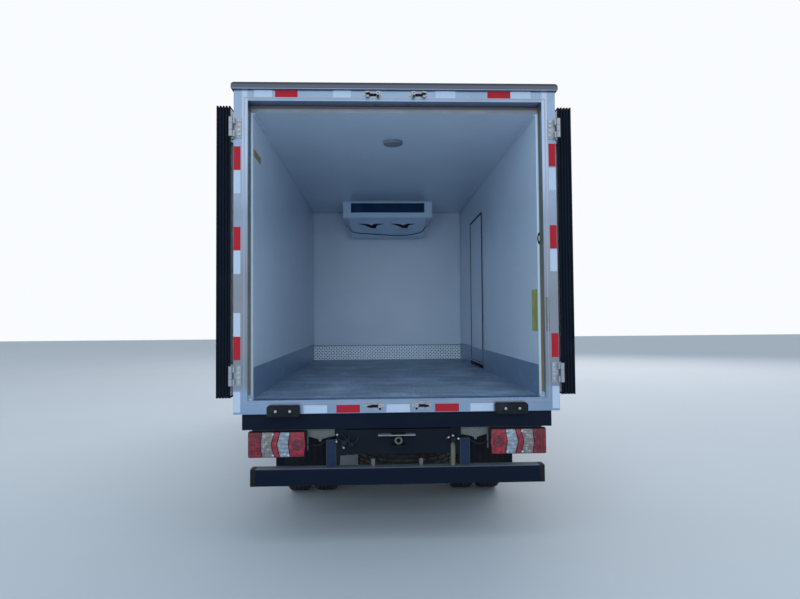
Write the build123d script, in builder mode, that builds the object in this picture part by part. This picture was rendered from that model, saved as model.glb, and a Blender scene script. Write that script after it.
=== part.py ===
from build123d import *
from math import cos, radians, sin
import os

# Refrigerated truck: a cab-over light truck with an insulated box whose two rear doors
# stand folded back along the sides.
# Millimetres. X is the truck's right, Y is forward, Z is up, and Z = 0 is the ground.
# Places along the truck are written as distances ahead of the rear face of the door frame,
# and at() turns such a distance into a Y.

# Insulated box
inside_length = 3840
inside_half = 945
inside_height = 1890
wall = 85
front_wall_thickness = 85
floor_top = 890
floor_thickness = 87
roof_thickness = 110
frame_depth = 100
frame_half = 1050
opening_half = 960
opening_height = 1934
header_top = 2900
cap_height = 43
cap_overhang = 15
cap_front = 60
cap_back = 20
cap_end_radius = 20
rail_leg = 60
rail_thickness = 4

# Cab, bumpers and overall
cab_gap = 125
cab_length = 1580
front_bumper_reach = 50
bumper_wrap = 220
front_bumper_low = 345
front_bumper_high = 612
front_bumper_corner = 130
front_bumper_wall = 45
front_bracket_low = 540
front_bracket_high = 600
dock_bumper_depth = 60
front_wall_outer = inside_length + front_wall_thickness
cab_rear = front_wall_outer + cab_gap
cab_front = cab_rear + cab_length
overall_length = dock_bumper_depth + cab_front + front_bumper_reach
rear_face = -overall_length / 2 + dock_bumper_depth

# Wheels and axles
wheelbase = 3360
rear_axle_ahead = 1200
front_axle_ahead = rear_axle_ahead + wheelbase
tyre_radius = 337
tyre_width = 185
tyre_shoulder = 28
bead_radius = 196
barrel_inner = 182
barrel_half = 82
hand_hole_circle = 142
hub_radius = 62
mount_offset = 107
disc_thickness = 14
hub_bore_clearance = 0.3
stud_count = 6
stud_circle_radius = 90
stud_radius = 9
hub_in_from_disc = 40
rear_hub_out = 800
front_hub_in = 712
front_hub_out = 884
hub_cap = 12
disc_bore = 20
disc_dish = 104
disc_dish_outside = 112
disc_foot = 60
disc_foot_inside = 8
disc_foot_outside = 10
hand_hole_radius = 20
stud_length = 18
front_tyre_centre = 745
rear_outer_centre = 768
twin_spacing = 215
kingpin_x = 600

# Chassis frame
rail_outer = 400
rail_width = 60
rail_top = 700
rail_height = 170
rail_sheet = 6
rail_rear = 20
rail_front_end = cab_front - 110
crossmember_places = (490, 950, 1620, 2350, 3150, 3900, 5300)
crossmember_width = 60
crossmember_height = 90
crossmember_middle = rail_top - rail_height / 2
closing_plate = 10
pivot_arm_in = 345
pivot_arm_out = 395
pivot_arm_low = 640
pivot_arm_high = 696
pivot_bar_in = 312
pivot_bar_out = 428
pivot_boss = 4
cab_rest_back = 60
cab_rest_front = 120
spare_x = 60
spare_low = 338
spare_disc_low = 78
spare_disc_high = 90
hanger_radius = 14
hanger_plate = 12
hanger_plate_radius = 60
jaw_height = 630
jaw_half_gap = 30
jaw_plate = 12
jaw_half_width = 45
jaw_reach = 62
jaw_bore_back = 38
jaw_bore = 16

# Drive line, axles and springs
engine_rear = cab_rear + 180
engine_front = cab_rear + 800
engine_half = 250
engine_low = 430
engine_waist = 730
engine_top = 930
engine_head_half = 230
engine_foot = 60
engine_nose = 40
mount_back = 120
mount_front = 60
mount_low = 600
mount_high = 660
gearbox_length = 440
gearbox_half = 140
gearbox_low = 440
gearbox_high = 555
shaft_rear = rear_axle_ahead + 190
shaft_front = engine_rear - gearbox_length
shaft_height = 440
shaft_radius = 36
shaft_joint_radius = 55
shaft_joint_half = 30
stub_radius = 35
front_stub_radius = 30
drum_radius = 150
drum_in = 475
drum_out = 590
rear_stub_end = 775
axle_tube_radius = 55
axle_tube_half = 500
gear_housing_half = 110
gear_housing_radius = 150
pinion_radius = 70
spring_seat_half = 70
spring_x = rail_outer - rail_width / 2
rear_spring_seat = 402
front_beam_half = 540
front_beam_depth = 35
front_beam_low = 235
front_beam_top = 312
eye_in = 520
eye_out = 590
eye_depth = 28
eye_half = 36
eye_radius = 30
eye_foot_out = 545
kingpin_radius = 13
kingpin_half = 80
knuckle_arm_in = 26
knuckle_arm_out = 655
knuckle_arm_gap = 2
knuckle_arm_top = 72
knuckle_plate_in = 638
knuckle_plate_out = 668
knuckle_plate_half = 45
brake_radius = 120
brake_out = 700
front_stub_end = 862
spring_table = (
    # axle ahead, seat height, end height, half length
    (rear_axle_ahead, rear_spring_seat, 505, 500),
    (front_axle_ahead, front_beam_top, 470, 560),
)
spring_half = 35
spring_leaf_half = 30
spring_clamp_half = 80
pack_thickness = 48
leaf_thickness = 14
hanger_length = 60
hanger_half = 20

# Tank, battery box and exhaust
tank_in = 440
tank_out = 860
tank_back = 2150
tank_front = 3050
tank_low = 405
tank_high = 725
tank_round = 55
tank_bracket_places = (2350, 2850)
tank_bracket_half = 25
bracket_low = 580
bracket_high = 640
battery_out = 850
battery_back = 3200
battery_front = 3720
battery_low = 430
battery_high = 715
battery_round = 15
battery_bracket_inset = 100
exhaust_x = 590
exhaust_height = 480
silencer_back = 2350
silencer_front = 3150
silencer_radius = 100
silencer_overlap = 10
pipe_radius = 28
pipe_bend = 90
pipe_end = engine_rear - 330
tail_pipe_end = 2050
exhaust_bracket_places = (2500, 3000)
exhaust_bracket_half = 20
exhaust_bracket_low = 545
exhaust_bracket_high = 575
exhaust_bracket_short = 60

# Side guards and mudguards
side_guard_in = 955
side_guard_out = 980
side_guard_post_in = 925
side_guard_lows = (420, 600)
side_guard_height = 80
side_guard_post_half = 20
side_guard_back_reach = 300
side_guard_front_reach = 60
flap_in = 480
flap_out = 845
flap_low = 250
flap_half = 4
mudguard_in = 445
mudguard_out = 870
mudguard_front = rear_axle_ahead + 270
mudguard_nose = rear_axle_ahead + 400
mudguard_nose_low = 540
mudguard_sheet = 4

# Box bearers
sill_beam_height = 40
sill_beam_back = 100
bearer_first = 160
bearer_spacing = 320
bearer_width = 40
bearer_half = 1000
floor_bottom = floor_top - floor_thickness
bearer_bottom = rail_top + sill_beam_height
rear_beam_half = 997
rear_beam_height = 101
rear_beam_back = 12

# Rear doors
door_thickness = 90
door_clearance = 5
sill_clearance = 7
leaf_gap_half = 6
pin_x = 1061
pin_back = 29
pin_radius = 6
knuckle_radius = 13
gasket_thickness = 14
gasket_groove = 9
gasket_groove_depth = 8
gasket_groove_count = 4
gasket_rib = (door_thickness - gasket_groove_count * gasket_groove) / (gasket_groove_count + 1)
hinge_heights = (1050, 2644)
strap_half_height = 65
strap_thickness = 12
strap_reach = 260
strap_root = 45
strap_pad_start = 130
knuckle_half = 20
hinge_ear_gap = 2
hinge_ear_height = 40
hinge_plate_inner = 1000
hinge_plate_thickness = 6
rod_from_centre = 150
rod_radius = 13
rod_stand_off = 21
rod_past_opening = 45
rod_guide_half = 30
rod_guide_half_height = 15
rod_guide_depth = 4
handle_height = 1480
handle_length = 330
handle_half_height = 14
handle_clearance = 6
handle_catch_near = 240
handle_catch_far = 300
rod_guide_from_handle = 220
rod_guide_from_end = 60
keeper_half_width = 58
keeper_plate = 3
keeper_lug_out = 25
keeper_lug_near = 25
keeper_lug_far = 45
keeper_height = 50
keeper_below_floor = 18
keeper_above_opening = 16
keeper_lug_inset = 6

# Side door in the right wall
side_door_near = 2210
side_door_far = 2967
side_door_low = 52
side_door_high = 1600
side_door_gap = 7
side_door_bevel = 15
side_flange = 18
side_flange_gap = 5
side_flange_thickness = 6
side_pin_out = 22
side_pin_ahead = 35
side_pin_radius = 5
side_knuckle_radius = 9
side_knuckle_half = 18
side_strap_thickness = 6
side_strap_near = 25
side_strap_far = 150
side_strap_half = 35
side_plate_thickness = 6
side_plate_back = 6
side_plate_front = 60
side_plate_half = 60
side_ear_near = 20
side_ear_thickness = 8
side_rod_radius = 8
side_rod_ahead = 90
side_handle_length = 220
side_handle_low = 1490
side_handle_high = 1515
side_hinge_heights = (1120, 1700, 2300)

# Inside of the box
kick_height = 200
tread_height = 185
kick_sheet = 3
tread_gap = 1
evaporator_half = 520
evaporator_back = 3100
evaporator_front = 3800
evaporator_drop = 190
fan_box_half = 450
fan_box_drop = 340
fan_box_slope = 480
fan_box_back = 20
fan_radius = 130
fan_spacing = 400
fan_centre_ahead = 240
fan_recess_top = 200
outlet_half = 430
outlet_depth = 60
outlet_top = 18
outlet_bottom = 130
lamp_ahead = 742
lamp_radius = 74
lamp_depth = 25
lamp_round = 10
condenser_half = 610
condenser_depth = 420
condenser_low = 2425
condenser_corner = 120
condenser_top_round = 40

# Rear end
bumper_in = 628
bumper_out = 832
bumper_low = 789
bumper_high = 857
lamp_in = 585
lamp_out = 960
lamp_low = 525
lamp_high = 695
lamp_plate_low = 625
guard_half = 940
guard_low = 351
guard_high = 459
guard_depth = 80
guard_back = 15
guard_sheet = 6
guard_hanger_out = 462
guard_hanger_back = 20
guard_hanger_front = 75
lamp_back = 12
lamp_front = 50
lamp_corner = 12
lamp_plate_in = 410
lamp_plate_short = 20
lamp_plate_thickness = 4
bumper_round = 10

# Cab
cab_half = 925
cab_roof = 2150
cab_low = 600
cab_step_low = 430
cab_belt = 1350
cab_lean = 45
cab_skin = 60
cab_sheet = 40
cab_corner = 150
outline_margin = 1
arch_radius = 430
glass_inset = 18
glass_thickness = 6
cab_door_gap = 12
cab_pin_out = 12
cab_pin_radius = 5
cab_knuckle_radius = 9
cab_hinge_heights = (760, 1200)
cab_ear_near = 16
cab_ear_far = 36
cab_knuckle_half = 14
cab_leaf_near = 7
cab_leaf_far = 40
cab_leaf_thickness = 8
cab_leaf_front = 12
nose_setback = 95
roof_length = 1010
windscreen_foot = 40
nose_break = 190
side_rounds = (60, 90, 120, 160)
front_rounds = (200, 70, 70, 200)
rail_slot_half = 450
rail_slot_top = 740
bumper_slot = 20
step_depth = 200
step_back = 320
step_thickness = 40
step_clear = 8
handle_out = 22
cab_handle_near = 60
cab_handle_far = 210
cab_handle_high = 65
cab_handle_low = 90
cab_door_front = cab_front - 270
cab_door_rear = cab_rear + 350
cab_door_low = 620
cab_door_top = 2040
door_lean = 390
arch_line_rear = 830
arch_line_front = 800
arch_line_far = 370
arch_line_near = 330
window_front = 70
window_front_top = 400
window_rear = 75
window_low = cab_belt + 45
window_high = cab_door_top - 65
screen_half_low = 800
screen_half_high = 770
screen_low = cab_belt + 65
screen_high = cab_roof - 100
screen_depth = 600
headlamp_outline = ((560, 740), (560, 850), (840, 900), (880, 870), (880, 740))
cab_floor_low = 770
cab_floor_top = 800
cover_half = 700
cover_top = 1010
cover_sheet = 30
front_panel_low = 665
pivot_ahead = cab_front - 65
pivot_height = 680
pivot_radius = 16
cover_back = 80
cover_front = 850
sill_overlap = 10
door_edge_room = 15
pivot_ear_places = ((315, 340), (400, 425))
pivot_ear_back = 24
pivot_ear_front = 22
pivot_ear_below = 26
pivot_hole_in = 310
pivot_hole_out = 430
pin_clearance = 0.3
seat_table = (
    # middle, half width
    (-430, 235),
    (290, 400),
)
# Seat outline: distances ahead of the cab's rear, and heights above the engine cover
seat_outline = ((260, 0), (770, 0), (780, 150), (360, 130), (240, 760), (130, 740))
# Dashboard outline: distances behind the cab's front, and heights
dash_outline = ((400, 1130), (430, 1330), (330, 1395), (0, 1400), (0, 1130))
dash_side_clearance = 12
steering_x = -430
steering_ahead = cab_rear + 960
steering_height = 1440
steering_wheel_radius = 200
steering_rim_radius = 14
steering_lean = 37
steering_boss_radius = 42
steering_boss_height = 40
spoke_width = 26
spoke_thickness = 12
column_start = 40
column_radius = 26
column_length = 700
column_tip_radius = 12
column_tip_length = 25
foot_room_half = 70
foot_room_back = 900
foot_room_low = 600
mirror_ahead = cab_front - 200
mirror_x = 1075
mirror_half = 70
mirror_back = 25
mirror_front = 30
mirror_low = 1450
mirror_high = 1800
mirror_corner = 30
mirror_tube = 9
mirror_arm_heights = (1290, 1340)

os.makedirs("parts", exist_ok=True)


def at(distance):
    """Y of a place that is this far ahead of the rear face of the door frame."""
    return rear_face + distance


def block(x0, x1, y0, y1, z0, z1, mode=Mode.ADD):
    """Add or cut a plain block between two corners, given in any order."""
    centre = ((x0 + x1) / 2, (y0 + y1) / 2, (z0 + z1) / 2)
    with Locations(centre):
        Box(abs(x1 - x0), abs(y1 - y0), abs(z1 - z0), mode=mode)


def upright(x, y, z0, z1, radius, mode=Mode.ADD):
    """Add or cut an upright round bar."""
    with Locations((x, y, (z0 + z1) / 2)):
        Cylinder(radius, abs(z1 - z0), mode=mode)


def crosswise(x0, x1, y, z, radius, mode=Mode.ADD):
    """Add or cut a round bar that lies along X."""
    with Locations(Location(((x0 + x1) / 2, y, z), (0, 90, 0))):
        Cylinder(radius, abs(x1 - x0), mode=mode)


def lengthwise(y0, y1, x, z, radius, mode=Mode.ADD):
    """Add or cut a round bar that lies along Y."""
    with Locations(Location((x, (y0 + y1) / 2, z), (90, 0, 0))):
        Cylinder(radius, abs(y1 - y0), mode=mode)


def save(builder, label):
    """Name a finished piece and write its file."""
    builder.part.label = label
    export_step(builder.part, "parts/" + label + ".step")


ceiling = floor_top + inside_height
roof_top = ceiling + roof_thickness
box_half = inside_half + wall
opening_top = floor_top + opening_height
rail_inner = rail_outer - rail_width


# Box floor, between the kick plates
floor_half = inside_half - kick_sheet
with BuildPart() as box_floor:
    block(-floor_half, floor_half, at(frame_depth), at(inside_length - kick_sheet), floor_bottom,
          floor_top)
save(box_floor, "box_floor")

# Left wall
with BuildPart() as left_wall:
    block(-box_half, -inside_half, at(frame_depth), at(front_wall_outer), floor_bottom, ceiling)
save(left_wall, "left_wall")

# Right wall, with the doorway of the side door
with BuildPart() as right_wall:
    block(inside_half, box_half, at(frame_depth), at(front_wall_outer), floor_bottom, ceiling)
    block(inside_half, box_half, at(side_door_near), at(side_door_far),
          floor_top + side_door_low, floor_top + side_door_high, Mode.SUBTRACT)
save(right_wall, "right_wall")

# Front wall
with BuildPart() as front_wall:
    block(-inside_half, inside_half, at(inside_length), at(front_wall_outer), floor_bottom, ceiling)
save(front_wall, "front_wall")

# Roof
with BuildPart() as box_roof:
    block(-box_half, box_half, at(frame_depth), at(front_wall_outer), ceiling, roof_top)
save(box_roof, "box_roof")

# Stainless rear portal: two posts, header and sill in one welded frame, with a rain cap on top
cap_top = header_top + cap_height
with BuildPart() as rear_frame:
    with BuildSketch(Plane.YZ):
        with BuildLine():
            Polyline((at(-cap_back), header_top), (at(-cap_back), header_top + cap_height / 2),
                     (at(-cap_back / 2), cap_top), (at(cap_front), cap_top),
                     (at(cap_front), header_top), close=True)
        make_face()
    extrude(amount=frame_half + cap_overhang, both=True)
    fillet(rear_frame.edges().filter_by(Axis.Y).group_by(Axis.Z)[-1], cap_end_radius)
    block(-frame_half, frame_half, at(0), at(frame_depth), floor_bottom, header_top)
    block(-opening_half, opening_half, at(0), at(frame_depth), floor_top, opening_top,
          Mode.SUBTRACT)
save(rear_frame, "rear_frame")

# Aluminium edge rails on the outside of the box
with BuildPart() as edge_rails:
    rail_outer_half = box_half + rail_thickness
    rail_roof = roof_top + rail_thickness
    rail_front = at(front_wall_outer) + rail_thickness
    block(-rail_outer_half, rail_outer_half, at(frame_depth), rail_front, floor_bottom, rail_roof)
    block(-box_half, box_half, at(frame_depth), at(front_wall_outer), floor_bottom, roof_top,
          Mode.SUBTRACT)
    block(-rail_outer_half, rail_outer_half, at(frame_depth), rail_front - rail_leg,
          floor_bottom + rail_leg, rail_roof - rail_leg, Mode.SUBTRACT)
    block(-rail_outer_half + rail_leg, rail_outer_half - rail_leg, at(frame_depth),
          rail_front - rail_leg, floor_bottom, rail_roof, Mode.SUBTRACT)
    block(-rail_outer_half + rail_leg, rail_outer_half - rail_leg, rail_front - rail_leg,
          rail_front, floor_bottom + rail_leg, rail_roof - rail_leg, Mode.SUBTRACT)
save(edge_rails, "edge_rails")


def door_y(along):
    """Y of a place on an open rear leaf, as its distance from the hinge pin."""
    return at(-pin_back) + along


# Rear doors: each leaf is laid out from its hinge pin. Distances along the leaf run forward,
# and distances out run from the pin away from the box.
leaf_near = pin_x - (opening_half - door_clearance)
leaf_far = pin_x - leaf_gap_half
leaf_outer_face = pin_back
leaf_inner_face = pin_back + door_thickness
leaf_low = floor_top + sill_clearance
leaf_high = opening_top - sill_clearance
rod_along = pin_x - rod_from_centre
rod_out = leaf_outer_face - rod_stand_off
rod_guide_heights = (leaf_low + rod_guide_from_end, handle_height - rod_guide_from_handle,
                     handle_height + rod_guide_from_handle, leaf_high - rod_guide_from_end)

for side, word in ((-1, "left"), (1, "right")):

    def out(distance):
        return side * (pin_x + distance)

    # Insulated leaf
    with BuildPart() as leaf:
        block(out(leaf_outer_face), out(leaf_inner_face), door_y(leaf_near + gasket_thickness),
              door_y(leaf_far - gasket_thickness), leaf_low + gasket_thickness,
              leaf_high - gasket_thickness)
    save(leaf, f"rear_door_{word}")

    # Ribbed rubber gasket round the leaf's edge: ribs of full height with lower bands between
    def ring(near, far, inset):
        """A band round the leaf between two places outward, this far below the ribs' tops."""
        block(out(near), out(far), door_y(leaf_near + inset), door_y(leaf_far - inset),
              leaf_low + inset, leaf_high - inset)

    with BuildPart() as gasket:
        ring(leaf_outer_face, leaf_inner_face, gasket_groove_depth)
        for rib in range(gasket_groove_count + 1):
            rib_near = leaf_outer_face + rib * (gasket_rib + gasket_groove)
            ring(rib_near, rib_near + gasket_rib, 0)
        block(out(leaf_outer_face), out(leaf_inner_face), door_y(leaf_near + gasket_thickness),
              door_y(leaf_far - gasket_thickness), leaf_low + gasket_thickness,
              leaf_high - gasket_thickness, Mode.SUBTRACT)
    save(gasket, f"rear_door_{word}_gasket")

    # Hinge straps, lock rod, rod guides and handle on the leaf's outer skin
    with BuildPart() as gear:
        for height in hinge_heights:
            block(out(-strap_thickness / 2), out(strap_thickness / 2), door_y(strap_root),
                  door_y(strap_reach), height - strap_half_height, height + strap_half_height)
            block(out(-strap_thickness / 2), out(strap_thickness / 2), door_y(0),
                  door_y(strap_root), height - knuckle_half, height + knuckle_half)
            upright(out(0), door_y(0), height - knuckle_half, height + knuckle_half,
                    knuckle_radius)
            upright(out(0), door_y(0), height - knuckle_half, height + knuckle_half,
                    pin_radius + pin_clearance, Mode.SUBTRACT)
            block(out(strap_thickness / 2), out(leaf_outer_face), door_y(strap_pad_start),
                  door_y(strap_reach), height - strap_half_height, height + strap_half_height)
        upright(out(rod_out), door_y(rod_along), floor_top - rod_past_opening,
                opening_top + rod_past_opening, rod_radius)
        for height in rod_guide_heights:
            block(out(rod_out - rod_guide_depth), out(leaf_outer_face),
                  door_y(rod_along - rod_guide_half), door_y(rod_along + rod_guide_half),
                  height - rod_guide_half_height, height + rod_guide_half_height)
        block(out(rod_out), out(leaf_outer_face - handle_clearance),
              door_y(rod_along - handle_length), door_y(rod_along),
              handle_height - handle_half_height, handle_height + handle_half_height)
        block(out(rod_out + handle_clearance), out(leaf_outer_face),
              door_y(rod_along - handle_catch_far), door_y(rod_along - handle_catch_near),
              handle_height - rod_guide_half, handle_height + rod_guide_half)
    save(gear, f"rear_door_{word}_gear")

# Side door: a plug leaf with an outer flange, hinged at its forward edge
side_low = floor_top + side_door_low + side_door_gap
side_high = floor_top + side_door_high - side_door_gap
flange_inner = box_half + side_flange_gap
flange_outer = flange_inner + side_flange_thickness
side_pin_x = box_half + side_pin_out
side_pin_y = at(side_door_far + side_pin_ahead)
with BuildPart() as side_door:
    with BuildSketch(Plane.XY.offset(side_low)):
        with BuildLine():
            Polyline((inside_half, at(side_door_near + side_door_gap + side_door_bevel)),
                     (box_half, at(side_door_near + side_door_gap)),
                     (flange_outer, at(side_door_near + side_door_gap)),
                     (flange_outer, at(side_door_far - side_door_gap)),
                     (inside_half, at(side_door_far - side_door_gap)),
                     (inside_half, at(side_door_near + side_door_gap + side_door_bevel)))
        make_face()
    extrude(amount=side_high - side_low)
    block(flange_inner, flange_outer, at(side_door_near - side_flange),
          at(side_door_far + side_flange), side_low - side_door_gap - side_flange,
          side_high + side_door_gap + side_flange)
save(side_door, "side_door")

with BuildPart() as side_door_gear:
    for height in side_hinge_heights:
        knuckle_low = height - side_knuckle_half
        knuckle_high = height + side_knuckle_half
        block(flange_outer, flange_outer + side_strap_thickness, side_pin_y - side_strap_far,
              side_pin_y - side_strap_near, height - side_strap_half, height + side_strap_half)
        block(flange_outer + side_strap_thickness, side_pin_x + side_strap_thickness / 2,
              side_pin_y - side_strap_near - side_strap_thickness, side_pin_y, knuckle_low, knuckle_high)
        upright(side_pin_x, side_pin_y, knuckle_low, knuckle_high, side_knuckle_radius)
        upright(side_pin_x, side_pin_y, knuckle_low, knuckle_high, side_pin_radius + pin_clearance,
                Mode.SUBTRACT)
    side_rod_y = at(side_door_near + side_rod_ahead)
    upright(flange_outer + side_rod_radius, side_rod_y, side_low, side_high, side_rod_radius)
    block(flange_outer + side_rod_radius / 2, flange_outer + 1.5 * side_rod_radius, side_rod_y,
          side_rod_y + side_handle_length, side_handle_low, side_handle_high)
save(side_door_gear, "side_door_gear")


# Fixed halves of the box doors' hinges, with their pins, and the four rod keepers
ear_start = knuckle_half + hinge_ear_gap
ear_end = ear_start + hinge_ear_height
with BuildPart() as door_hinges:
    for side in (-1, 1):
        for height in hinge_heights:
            block(side * hinge_plate_inner, side * frame_half, at(-hinge_plate_thickness), at(0),
                  height - strap_half_height, height + strap_half_height)
            upright(side * pin_x, at(-pin_back), height - ear_end, height + ear_end, pin_radius)
            for way in (-1, 1):
                near = height + way * ear_start
                far = height + way * ear_end
                upright(side * pin_x, at(-pin_back), near, far, knuckle_radius)
                block(side * (frame_half - knuckle_radius), side * frame_half, at(-pin_back), at(0),
                      near, far)
        for low in (floor_bottom + keeper_below_floor, opening_top + keeper_above_opening):
            middle = side * rod_from_centre
            block(middle - keeper_half_width, middle + keeper_half_width, at(-keeper_plate), at(0),
                  low, low + keeper_height)
            for way in (-1, 1):
                block(middle + way * keeper_lug_near, middle + way * keeper_lug_far,
                      at(-keeper_lug_out), at(-keeper_plate), low + keeper_lug_inset,
                      low + keeper_height - keeper_lug_inset)
    for height in side_hinge_heights:
        block(box_half, box_half + side_plate_thickness, side_pin_y - side_plate_back,
              side_pin_y + side_plate_front, height - side_plate_half, height + side_plate_half)
        upright(side_pin_x, side_pin_y, height - side_plate_half, height + side_plate_half,
                side_pin_radius)
        for way in (-1, 1):
            near = height + way * side_ear_near
            far = height + way * side_plate_half
            upright(side_pin_x, side_pin_y, near, far, side_knuckle_radius)
            block(box_half, side_pin_x, side_pin_y, side_pin_y + side_ear_thickness, near, far)
save(door_hinges, "door_hinges")


# Kick plates between the floor and the side walls, and the tread plate up the front wall
with BuildPart() as kick_plates:
    for side in (-1, 1):
        block(side * floor_half, side * inside_half, at(frame_depth), at(inside_length),
              floor_bottom, floor_top + kick_height)
    block(floor_half, inside_half, at(side_door_near), at(side_door_far),
          floor_top + side_door_low, floor_top + kick_height, Mode.SUBTRACT)
    block(-floor_half + tread_gap, floor_half - tread_gap, at(inside_length - kick_sheet),
          at(inside_length), floor_bottom, floor_top + tread_height)
save(kick_plates, "kick_plates")

# Evaporator under the ceiling at the front wall: outlet slot to the rear, two fans below
with BuildPart() as evaporator:
    block(-evaporator_half, evaporator_half, at(evaporator_back), at(evaporator_front),
          ceiling - evaporator_drop, ceiling)
    with BuildSketch(Plane.YZ):
        with BuildLine():
            Polyline((at(evaporator_back + fan_box_back), ceiling - evaporator_drop),
                     (at(evaporator_back + fan_box_slope), ceiling - fan_box_drop),
                     (at(evaporator_front), ceiling - fan_box_drop),
                     (at(evaporator_front), ceiling - evaporator_drop), close=True)
        make_face()
    extrude(amount=fan_box_half, both=True)
    block(-outlet_half, outlet_half, at(evaporator_back), at(evaporator_back + outlet_depth),
          ceiling - outlet_bottom, ceiling - outlet_top, Mode.SUBTRACT)
    for side in (-1, 1):
        upright(side * fan_spacing / 2, at(evaporator_back + fan_centre_ahead),
                ceiling - fan_box_drop, ceiling - fan_recess_top, fan_radius, Mode.SUBTRACT)
save(evaporator, "evaporator")

# Round ceiling lamp
with BuildPart() as ceiling_lamp:
    with Locations((0, at(lamp_ahead), ceiling - lamp_depth / 2)):
        Cylinder(lamp_radius, lamp_depth)
    fillet(ceiling_lamp.edges().group_by(Axis.Z)[0], lamp_round)
save(ceiling_lamp, "ceiling_lamp")

# Condenser unit on the front wall, above the cab roof
condenser_high = roof_top - rail_leg
with BuildPart() as condenser_unit:
    block(-condenser_half, condenser_half, at(front_wall_outer),
          at(front_wall_outer + condenser_depth), condenser_low, condenser_high)
    fillet(condenser_unit.edges().filter_by(Axis.Z).group_by(Axis.Y)[-1], condenser_corner)
    fillet(condenser_unit.faces().sort_by(Axis.Z)[-1].edges().filter_by(Axis.Y, reverse=True)
           .sort_by(Axis.Y)[-1:], condenser_top_round)
save(condenser_unit, "condenser_unit")


# Box bearers: the cross bearers and the rear beam, each a bar of its own
with BuildPart() as box_bearers:
    for place in range(bearer_first, front_wall_outer, bearer_spacing):
        block(-bearer_half, bearer_half, at(place - bearer_width / 2), at(place + bearer_width / 2),
              bearer_bottom, floor_bottom)
    block(-rear_beam_half, rear_beam_half, at(rear_beam_back), at(frame_depth),
          floor_bottom - rear_beam_height, floor_bottom)
save(box_bearers, "box_bearers")

# Frame rails: two channels, each with the box's long sill on top and the cab's rest and pivot
web_inner = rail_outer - rail_sheet
rail_bottom = rail_top - rail_height
with BuildPart() as frame_rails:
    for side in (-1, 1):
        block(side * rail_inner, side * rail_outer, at(rail_rear), at(rail_front_end), rail_bottom,
              rail_top)
        block(side * rail_inner, side * web_inner, at(rail_rear), at(rail_front_end),
              rail_bottom + rail_sheet, rail_top - rail_sheet, Mode.SUBTRACT)
        block(side * pivot_arm_in, side * pivot_arm_out, at(crossmember_places[-1] + crossmember_width),
              at(pivot_ahead), pivot_arm_low, pivot_arm_high)
        crosswise(side * pivot_bar_in, side * pivot_bar_out, at(pivot_ahead), pivot_height,
                  pivot_radius)
        crosswise(side * pivot_arm_in, side * pivot_arm_out, at(pivot_ahead), pivot_height,
                  pivot_radius + pivot_boss)
        block(side * rail_inner, side * rail_outer, at(cab_rear + cab_rest_back),
              at(cab_rear + cab_rest_front), rail_top, cab_floor_low - pin_clearance)
        block(side * rail_inner, side * rail_outer, at(sill_beam_back), at(front_wall_outer),
              rail_top, bearer_bottom)
save(frame_rails, "frame_rails")

# Crossmembers between the rails, the first with the spare wheel's hanger, and the end plate
# with the tow jaw
spare_ahead = crossmember_places[0]
with BuildPart() as crossmembers:
    for place in crossmember_places:
        block(-web_inner, web_inner, at(place - crossmember_width / 2),
              at(place + crossmember_width / 2), crossmember_middle - crossmember_height / 2,
              crossmember_middle + crossmember_height / 2)
    block(-web_inner, web_inner, at(rail_rear), at(rail_rear + closing_plate),
          rail_bottom + rail_sheet, rail_top - rail_sheet)
    upright(spare_x, at(spare_ahead), spare_low + spare_disc_low, crossmember_middle, hanger_radius)
    upright(spare_x, at(spare_ahead), spare_low + spare_disc_low - hanger_plate,
            spare_low + spare_disc_low, hanger_plate_radius)
    for low in (jaw_height - jaw_half_gap - jaw_plate, jaw_height + jaw_half_gap):
        block(-jaw_half_width, jaw_half_width, at(rail_rear - jaw_reach), at(rail_rear), low,
              low + jaw_plate)
        upright(0, at(rail_rear - jaw_bore_back), low, low + jaw_plate, jaw_bore, Mode.SUBTRACT)
save(crossmembers, "crossmembers")

# Engine and gearbox as one plain block, with its mounts to the rails
with BuildPart() as engine:
    block(-engine_half, engine_half, at(engine_rear - engine_foot), at(engine_front + engine_nose),
          engine_low, engine_waist)
    block(-engine_head_half, engine_head_half, at(engine_rear), at(engine_front), engine_waist,
          engine_top)
    block(-gearbox_half, gearbox_half, at(engine_rear - gearbox_length),
          at(engine_rear - engine_foot), gearbox_low, gearbox_high)
    for side in (-1, 1):
        block(side * engine_half, side * web_inner, at(engine_front - mount_back),
              at(engine_front - mount_front), mount_low, mount_high)
save(engine, "engine")

# Shaft from the gearbox to the rear axle
with BuildPart() as propshaft:
    lengthwise(at(shaft_rear), at(shaft_front), 0, shaft_height, shaft_radius)
    for place in (shaft_rear + shaft_joint_half, shaft_front - shaft_joint_half):
        lengthwise(at(place - shaft_joint_half), at(place + shaft_joint_half), 0, shaft_height,
                   shaft_joint_radius)
save(propshaft, "propshaft")

# Rear axle: tube, gear housing, spring seats, brake drums and wheel stubs
axle_y = at(rear_axle_ahead)
with BuildPart() as rear_axle:
    crosswise(-axle_tube_half, axle_tube_half, axle_y, tyre_radius, axle_tube_radius)
    crosswise(-gear_housing_half, gear_housing_half, axle_y, tyre_radius, gear_housing_radius)
    lengthwise(axle_y, at(shaft_rear), 0, shaft_height, pinion_radius)
    for side in (-1, 1):
        crosswise(side * drum_in, side * drum_out, axle_y, tyre_radius, drum_radius)
        crosswise(side * drum_out, side * rear_stub_end, axle_y, tyre_radius, stub_radius)
        block(side * (spring_x - spring_half), side * (spring_x + spring_half),
              axle_y - spring_seat_half, axle_y + spring_seat_half, tyre_radius, rear_spring_seat)
save(rear_axle, "rear_axle")

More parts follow.
